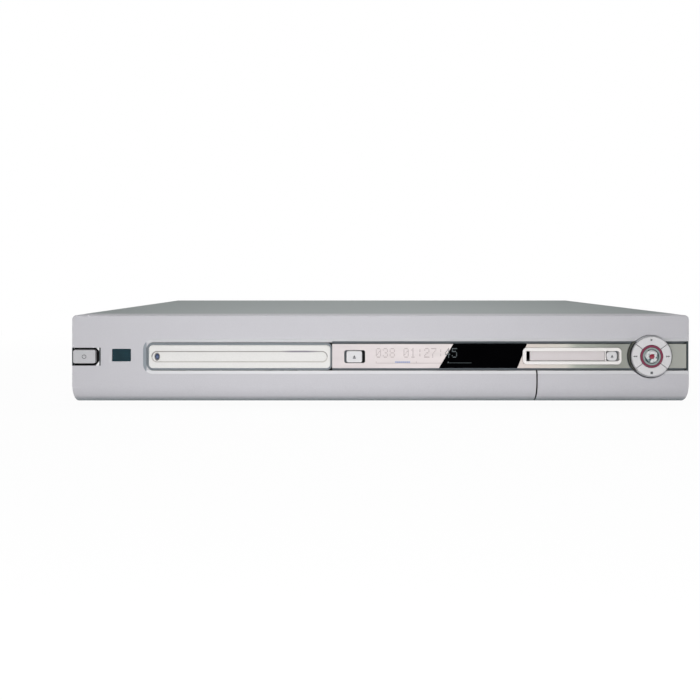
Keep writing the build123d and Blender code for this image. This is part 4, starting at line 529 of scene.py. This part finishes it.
# The scale under the figures, as the place and the size of each line and mark
for x, z, width, height in ((0.0202, 0.03225, 0.0464, 0.00030), (-0.0031, 0.0329, 0.00032, 0.0014),
                            (0.0252, 0.0329, 0.00032, 0.0014)):
    tile(on_strip, x, z, width, height)
for x, z, width, height in ((0.0555, 0.03245, 0.0172, 0.0002), (0.0477, 0.0329, 0.0007, 0.0008)):
    tile(on_pane, x, z, width, height)
printed("display_digits", on_strip, strip_front, pale_print, "case", "mirror_strip")
printed("window_digits", on_pane, strip_front, lit_print, "case", "smoked_window")
blue_bar, tree, shader = start("blue_level_bar", "#97a1c4", 0.5)
grain(tree, shader, 0.5, 0.002)
bar_cells, bar_left, bar_pitch = 8, 0.0108, 0.00135
bar = bmesh.new()
for number in range(bar_cells):
    tile(bar, bar_left + number * bar_pitch, 0.0330, 0.0012, 0.0011)
printed("display_level_bar", bar, strip_front, blue_bar, "case", "mirror_strip")


# Standby, eject and card keys
# Small injection-moulded keys in pearl silver ABS with softened edges. Their signs are pad-printed
# in dark grey: the power sign and the triangle over a bar that mean standby and eject.
pearl, tree, shader = start("pearl_silver_abs", "#dbdadc", 0.28, Coat_Weight=0.35, Coat_Roughness=0.15,
                            Metallic=0.05)
place, speckle = grain(tree, shader, 0.6, 0.002, 0.3)
vary(tree, shader, speckle.outputs["Fac"], "#d6d5d7", "#e0dfe1")
dress(["eject_button", "media_eject_button", "nav_key_right", "nav_key_up", "nav_key_left", "nav_key_down"],
      pearl)
grey_pearl, tree, shader = start("grey_pearl_abs", "#c1c1c4", 0.3, Coat_Weight=0.3, Coat_Roughness=0.2,
                                 Metallic=0.08)
place, speckle = grain(tree, shader, 0.6, 0.002, 0.3)
vary(tree, shader, speckle.outputs["Fac"], "#bcbcbf", "#c6c6c9")
dress(["standby_button"], grey_pearl)
sign_ink, tree, shader = start("dark_grey_ink", "#4a4c50", 0.55)
grain(tree, shader, 0.3, 0.002)


def arc(shape, x, z, outer, inner, first, sweep):
    """Starts a drawing with a flat ring or part of one; the angles run from the right, in degrees."""
    steps = max(6, int(abs(sweep) / 8))
    begin = math.radians(first)
    ends = [shape.verts.new((reach * math.cos(begin), 0, reach * math.sin(begin))) for reach in (inner, outer)]
    line = shape.edges.new(ends)
    bmesh.ops.spin(shape, geom=ends + [line], cent=(0, 0, 0), axis=(0, -1, 0), angle=math.radians(sweep),
                   steps=steps, use_merge=abs(sweep) > 359)
    bmesh.ops.translate(shape, vec=(x, 0, z), verts=shape.verts)


def triangle(shape, x, z, width, height, turn=0.0):
    """Adds a small triangle that points up, or turned about the Y axis."""
    corners = [shape.verts.new(Matrix.Rotation(turn, 4, "Y") @ Vector(point))
               for point in ((-width / 2, 0, -height / 2), (width / 2, 0, -height / 2), (0, 0, height / 2))]
    shape.faces.new(corners)
    bmesh.ops.translate(shape, vec=(x, 0, z), verts=corners)


def key_place(name):
    """A key's middle from left to right, the Y of its front, and its middle in height."""
    low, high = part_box(name)
    return (low[0] + high[0]) / 2, low[1], (low[2] + high[2]) / 2


x, front, z = key_place("standby_button")
power = bmesh.new()
arc(power, x, z, 0.00155, 0.00118, 118, 304)
tile(power, x, z + 0.00105, 0.00038, 0.0017)
printed("standby_sign", power, front, sign_ink, "standby_button", "pearl_plastic")
for name, key, scale in (("eject_sign", "eject_button", 1.0), ("card_eject_sign", "media_eject_button", 0.85)):
    x, front, z = key_place(key)
    eject = bmesh.new()
    triangle(eject, x, z + 0.0002, 0.0021 * scale, 0.0017 * scale)
    tile(eject, x, z - 0.0012 * scale, 0.0021 * scale, 0.00045 * scale)
    printed(name, eject, front, sign_ink, key, "pearl_plastic")


# Card slot
# A bright pearl bezel with a sprung shutter in it. The shutter is the same moulding in a rosier,
# duller tone, and it hangs on two pins behind the bezel's upper edge.
bright_pearl, tree, shader = start("bright_pearl_abs", "#e9e6e5", 0.22, Coat_Weight=0.5, Coat_Roughness=0.08)
place, speckle = grain(tree, shader, 0.6, 0.0015, 0.35)
vary(tree, shader, speckle.outputs["Fac"], "#efebe9", "#f4f1ef")
dress(["media_bezel"], bright_pearl)
rose_pearl, tree, shader = start("rose_pearl_abs", "#cbc4c6", 0.3, Coat_Weight=0.35, Coat_Roughness=0.12)
place, speckle = grain(tree, shader, 0.6, 0.002, 0.3)
vary(tree, shader, speckle.outputs["Fac"], "#d3cccd", "#dad4d5")
dress(["media_door"], rose_pearl)


# Remote receiver's window
# A small plate of dark teal acrylic that lets infrared light through, polished and nearly flush in
# the faceplate.
teal, tree, shader = start("dark_teal_acrylic", "#1d3a42", 0.14, Specular_IOR_Level=0.15)
place = node(tree, "ShaderNodeTexCoord")
cloud = node(tree, "ShaderNodeTexNoise", {"Scale": 160.0, "Detail": 1.0}, {"Vector": place.outputs["Object"]})
vary(tree, shader, cloud.outputs["Fac"], "#132b33", "#1b3841")
dress(["ir_window"], teal)


# Dial
# Four quarter keys round a red light guide, with a nickel-plated record button in the middle. The
# transport signs on the keys are pad-printed, and a thin plated rim holds the dial in the strip.
cup_low, cup_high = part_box("dial_cup")
dial = ((cup_low[0] + cup_high[0]) / 2, (cup_low[2] + cup_high[2]) / 2)
cup_side, key_floor, button_floor = 0.0143, 0.0138, 0.0062       # radii
rim_back, shade_back = cup_low[1] + 0.0004, cup_low[1] + 0.0029
half_band = 0.0103
cup_metal, tree, shader = start("lacquered_cup", "#b9b9bd", 0.4, Coat_Weight=0.15)
place, speckle = grain(tree, shader, 0.6, 0.002, 0.2)
tone = vary(tree, shader, speckle.outputs["Fac"], "#b5b5ba", "#bfbfc3").outputs[2]
centred = node(tree, "ShaderNodeMapping", {"Location": (-dial[0], 0, -dial[1])},
               {"Vector": place.outputs["Object"]})
axes = node(tree, "ShaderNodeSeparateXYZ", {}, {0: centred.outputs[0]})
flat = node(tree, "ShaderNodeCombineXYZ", {}, {0: axes.outputs["X"], 1: axes.outputs["Z"]})
radius = node(tree, "ShaderNodeVectorMath", {"operation": "LENGTH"}, {0: flat.outputs[0]}).outputs["Value"]
# Painted reflection and painted shade: the cup's side shows a painted reflection of the strip with
# the keys' painted shade on it, its front is a dull grey darkened as painted shade of the gap round
# the dial, its floor is painted dark as shade under the keys, and it is lighter under the button
outside = between(tree, radius, cup_side, beyond), between(tree, axes.outputs["Z"], -half_band, half_band)
tone = coat(tree, tone, "#8f9187", *outside)
tone = coat(tree, tone, "#12171a", *outside, between(tree, axes.outputs["Y"], rim_back, shade_back, 0.0006))
tone = coat(tree, tone, "#6c7074", between(tree, axes.outputs["Y"], -beyond, rim_back))
tone = coat(tree, tone, "#2c3639", between(tree, radius, -beyond, key_floor))
tone = coat(tree, tone, "#93a09f", between(tree, radius, -beyond, button_floor))
tree.links.new(tone, shader.inputs["Base Color"])
dress(["dial_cup"], cup_metal)
guide, tree, shader = start("red_light_guide", "#8a1838", 0.25, Coat_Weight=0.3, Coat_Roughness=0.1)
place, speckle = grain(tree, shader, 0.5, 0.002, 0.2)
vary(tree, shader, speckle.outputs["Fac"], "#701a3c", "#862447")
dress(["record_light_ring"], guide)
chrome, tree, shader = start("nickel_plate", "#b9bbbd", 0.12, Metallic=1.0)
grain(tree, shader, 1.4, 0.002, 0.25, 0.0)
dress(["phono_shells", "guide_rods", "feed_screw"], chrome)
# The record button's dark teal and near-white swirls are a painted reflection on its plated dome
knob, tree, shader = start("nickel_knob_painted_reflection", "#c9cccd", 0.24, Metallic=0.35)
place = node(tree, "ShaderNodeTexCoord")
reflection_swirl = node(tree, "ShaderNodeTexNoise", {"Scale": 330.0, "Detail": 0.0, "Distortion": 1.2},
             {"Vector": place.outputs["Object"]})
contrast = node(tree, "ShaderNodeMapRange", {"From Min": 0.42, "From Max": 0.56},
                {"Value": reflection_swirl.outputs["Fac"]})
vary(tree, shader, contrast.outputs[0], "#4a6466", "#dfe1e2")
dress(["record_button"], knob)
sign_radius = 0.01155
for name, turn in (("up", 90), ("down", 270), ("left", 180), ("right", 0)):
    key = "nav_key_" + name
    x = dial[0] + sign_radius * math.cos(math.radians(turn))
    z = dial[1] + sign_radius * math.sin(math.radians(turn))
    sign = bmesh.new()
    if name == "up":
        triangle(sign, x, z, 0.0017, 0.0015, math.radians(90))
    elif name == "down":
        tile(sign, x, z, 0.0017, 0.0017)
    else:
        aim = math.radians(-90 if name == "left" else 90)
        for shift in (-0.0007, 0.0007):
            triangle(sign, x + shift, z, 0.0013, 0.0014, aim)
    printed("dial_sign_" + name, sign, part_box(key)[0][1], sign_ink, key, "pearl_plastic")
jewel_red, tree, shader = start("red_jewel", "#8c1230", 0.1, Coat_Weight=0.6, Coat_Roughness=0.05)
grain(tree, shader, 0.5, 0.002)
jewel_half = (0.0018, 0.0006, 0.0018)
jewel = bmesh.new()
bmesh.ops.create_uvsphere(jewel, u_segments=32, v_segments=16, radius=1.0)
bmesh.ops.scale(jewel, vec=jewel_half, verts=jewel.verts)
bmesh.ops.translate(jewel, vec=(dial[0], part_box("record_button")[0][1] + 0.0001, dial[1]), verts=jewel.verts)
piece("record_jewel", jewel, jewel_red, "record_button", "ring_red", 60)


# Sockets and their panels
# Moulded sockets in the usual colours: yellow for the picture, white and red for the sound. The
# front ones sit behind the flap in a dark moulded panel; the larger ones are black.
def coloured(name, colour, deep_colour):
    """Smooth coloured ABS with a slight cloudiness."""
    made, tree, shader = start(name, colour, 0.3, Coat_Weight=0.2, Coat_Roughness=0.2)
    place, speckle = grain(tree, shader, 0.8, 0.003, 0.2)
    vary(tree, shader, speckle.outputs["Fac"], deep_colour, colour)
    return made


dress(["video_sockets"], coloured("yellow_abs", "#e0b51c", "#cda413"))
dress(["left_audio_sockets"], coloured("white_abs", "#e6e5e0", "#d8d7d1"))
dress(["right_audio_sockets"], coloured("red_abs", "#b3201c", "#9c1815"))


def moulded(name, colour, deep_colour, roughness, size, height):
    """Grained unpainted moulding compound."""
    made, tree, shader = start(name, colour, roughness)
    place, speckle = grain(tree, shader, size, height, 0.2)
    vary(tree, shader, speckle.outputs["Fac"], deep_colour, colour)
    return made


black_abs = moulded("black_grained_abs", "#1c1d20", "#121316", 0.5, 0.9, 0.02)
dark_abs = moulded("dark_grey_abs", "#34363a", "#292b2f", 0.5, 0.9, 0.02)
dress(["loader_frame", "turntable", "scart_sockets", "mains_inlet", "fan_frame", "fan_rotor",
       "front_data_sockets", "tact_switches", "feet"], black_abs)
dress(["disc_tray", "socket_panel", "display_module", "traverse_motors"], dark_abs)


# Sheet metal inside and under the case
# Zinc-plated steel: the base, the tuner's can, the card cage, the clamp bridge, the traverse and the
# tray motor's shell. The plating shows a faint spangle, and the heat sinks are drawn aluminium.
zinc, tree, shader = start("zinc_plated_steel", "#a9abab", 0.38, Metallic=0.85)
place, speckle = grain(tree, shader, 1.2, 0.006, 0.2)
spangle = node(tree, "ShaderNodeTexVoronoi", {"Scale": 220.0}, {"Vector": place.outputs["Object"]})
vary(tree, shader, spangle.outputs["Distance"], "#9fa2a2", "#b6b8b8")
dress(["chassis_base", "tuner_module", "card_cage", "clamp_bridge", "traverse_frame", "loader_motor"], zinc)
aluminium, tree, shader = start("extruded_aluminium", "#c3c5c6", 0.35, Metallic=0.9)
place = node(tree, "ShaderNodeTexCoord")
drawn = node(tree, "ShaderNodeMapping", {"Scale": (900, 30, 900)}, {"Vector": place.outputs["Object"]})
lines = node(tree, "ShaderNodeTexNoise", {"Scale": 1.0, "Detail": 2.0}, {"Vector": drawn.outputs[0]})
vary(tree, shader, lines.outputs["Fac"], "#b2b5b6", "#cfd1d2")
dress(["heat_sinks", "pickup_sled"], aluminium)


# Gears, clamper and belt
# Natural acetal wheels, injection-moulded and slightly waxy, that turn on pins of the loader's frame,
# and a black moulded rubber belt stretched between the motor's pulley and the first wheel.
acetal = moulded("natural_acetal", "#e4e0d4", "#d9d4c6", 0.4, 0.7, 0.004)
rubber = moulded("black_rubber", "#1f1f20", "#151516", 0.75, 0.6, 0.02)
dress(["tray_gear", "pulley_gear", "motor_pulley", "clamper"], acetal)
dress(["drive_belt", "foot_pads"], rubber)


# Pickup lens
# A tiny moulded lens, glossy, with a thin coating that gives it a blue-violet tint. It is glued into
# the sled and looks up at the disc.
coated, tree, shader = start("coated_lens", "#2a3560", 0.04, Coat_Weight=0.8, Coat_Roughness=0.02)
place = node(tree, "ShaderNodeTexCoord")
film = node(tree, "ShaderNodeTexNoise", {"Scale": 300.0, "Detail": 0.0}, {"Vector": place.outputs["Object"]})
vary(tree, shader, film.outputs["Fac"], "#222c58", "#3c2f6c")
dress(["pickup_lens"], coated)


# Boards, chips and power parts
# Green lacquered laminate with tinned tracks, black epoxy packages, and the taped transformer and
# sleeved capacitors of the power supply.
laminate, tree, shader = start("green_laminate", "#1f6038", 0.35, Coat_Weight=0.3, Coat_Roughness=0.2)
place = node(tree, "ShaderNodeTexCoord")
tracks = node(tree, "ShaderNodeTexBrick", {"Scale": 1.0, "Color1": linear("#1c5a34"),
                                           "Color2": linear("#226a3e"), "Mortar": linear("#4b8f5c"),
                                           "Mortar Size": 0.0004, "Brick Width": 0.011, "Row Height": 0.0023},
              {"Vector": place.outputs["Object"]})
tree.links.new(tracks.outputs["Color"], shader.inputs["Base Color"])
dress(["circuit_boards"], laminate)
dress(["board_chips"], moulded("black_epoxy", "#222326", "#191a1c", 0.45, 0.5, 0.008))
dress(["power_components"], moulded("taped_windings", "#8a7430", "#5f5230", 0.5, 2.5, 0.01))


# Screws
# Cross-head pan screws, zinc-plated: three in the lid's rear lip, four in the fan, those of the
# sockets, and one at each board's corner. Each head is turned, domed and cut by a cross recess.
head_width = 6.0                            # the head is turned in millimetres and scaled to each screw
head = bmesh.new()
outline = [head.verts.new(point) for point in ((0, 0, 1.6), (1.2, 0, 1.56), (2.2, 0, 1.3), (2.8, 0, 0.8),
                                               (3.0, 0, 0.25), (3.0, 0, 0.0), (0, 0, 0.0))]
edges = [head.edges.new(pair) for pair in zip(outline, outline[1:])]
bmesh.ops.spin(head, geom=outline + edges, cent=(0, 0, 0), axis=(0, 0, 1), angle=math.tau, steps=28,
               use_merge=True)
bmesh.ops.remove_doubles(head, verts=head.verts, dist=0.001)
bmesh.ops.recalc_face_normals(head, faces=head.faces)
head_data = bpy.data.meshes.new("screw_head")
head.to_mesh(head_data)
head.free()
cross = bmesh.new()
for turn in (0, 90):
    bar = bmesh.ops.create_cube(cross, size=1.0)
    shaped = Matrix.Rotation(math.radians(turn), 4, "Z") @ Matrix.Diagonal((3.3, 0.75, 2.2, 1))
    bmesh.ops.transform(cross, matrix=Matrix.Translation((0, 0, 1.7)) @ shaped, verts=bar["verts"])
cross_data = bpy.data.meshes.new("screw_cross")
cross.to_mesh(cross_data)
cross.free()
head_object = bpy.data.objects.new("screw_head", head_data)
cross_object = bpy.data.objects.new("screw_cross", cross_data)
for made in (head_object, cross_object):
    bpy.context.scene.collection.objects.link(made)
cut = head_object.modifiers.new("cross", "BOOLEAN")
cut.operation = "DIFFERENCE"
cut.object = cross_object
cut.use_self = True
cut.solver = "EXACT"
bpy.context.view_layer.update()
whole = bpy.data.meshes.new_from_object(head_object.evaluated_get(bpy.context.evaluated_depsgraph_get()))
for made in (head_object, cross_object):
    bpy.data.objects.remove(made)
plated, tree, shader = start("zinc_plated_screw", "#8d8f90", 0.3, Metallic=0.95)
place, speckle = grain(tree, shader, 0.5, 0.006)
vary(tree, shader, speckle.outputs["Fac"], "#7f8182", "#9b9d9e")
heads = bmesh.new()
# Each solid of the screws node is one head, so its own box says where it sits and which way it faces
solids = bmesh.new()
solids.from_mesh(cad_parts["screws"].data)
bmesh.ops.remove_doubles(solids, verts=solids.verts, dist=0.00001)
waiting = set(solids.verts)
while waiting:
    group = [waiting.pop()]
    for vertex in group:
        for edge in vertex.link_edges:
            other = edge.other_vert(vertex)
            if other in waiting:
                waiting.discard(other)
                group.append(other)
    low = Vector([min(v.co[axis] for v in group) for axis in range(3)])
    high = Vector([max(v.co[axis] for v in group) for axis in range(3)])
    middle = (low + high) / 2
    span = high - low
    scale = span.x / head_width
    if span.z < span.y:
        turned = Matrix.Translation((middle.x, middle.y, low.z))
    else:
        turned = Matrix.Translation((middle.x, low.y, middle.z)) @ Matrix.Rotation(math.radians(-90), 4, "X")
    twist = Matrix.Rotation(middle.x * 90 + middle.z * 40, 4, "Z")
    known = set(heads.verts)
    heads.from_mesh(whole)
    fresh = [v for v in heads.verts if v not in known]
    bmesh.ops.transform(heads, matrix=turned @ twist @ Matrix.Diagonal((scale, scale, 0.001, 1)), verts=fresh)
solids.free()
screw_heads = piece("cross_head_screws", heads, plated, "case", "screw_metal", 35)
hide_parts("screws")
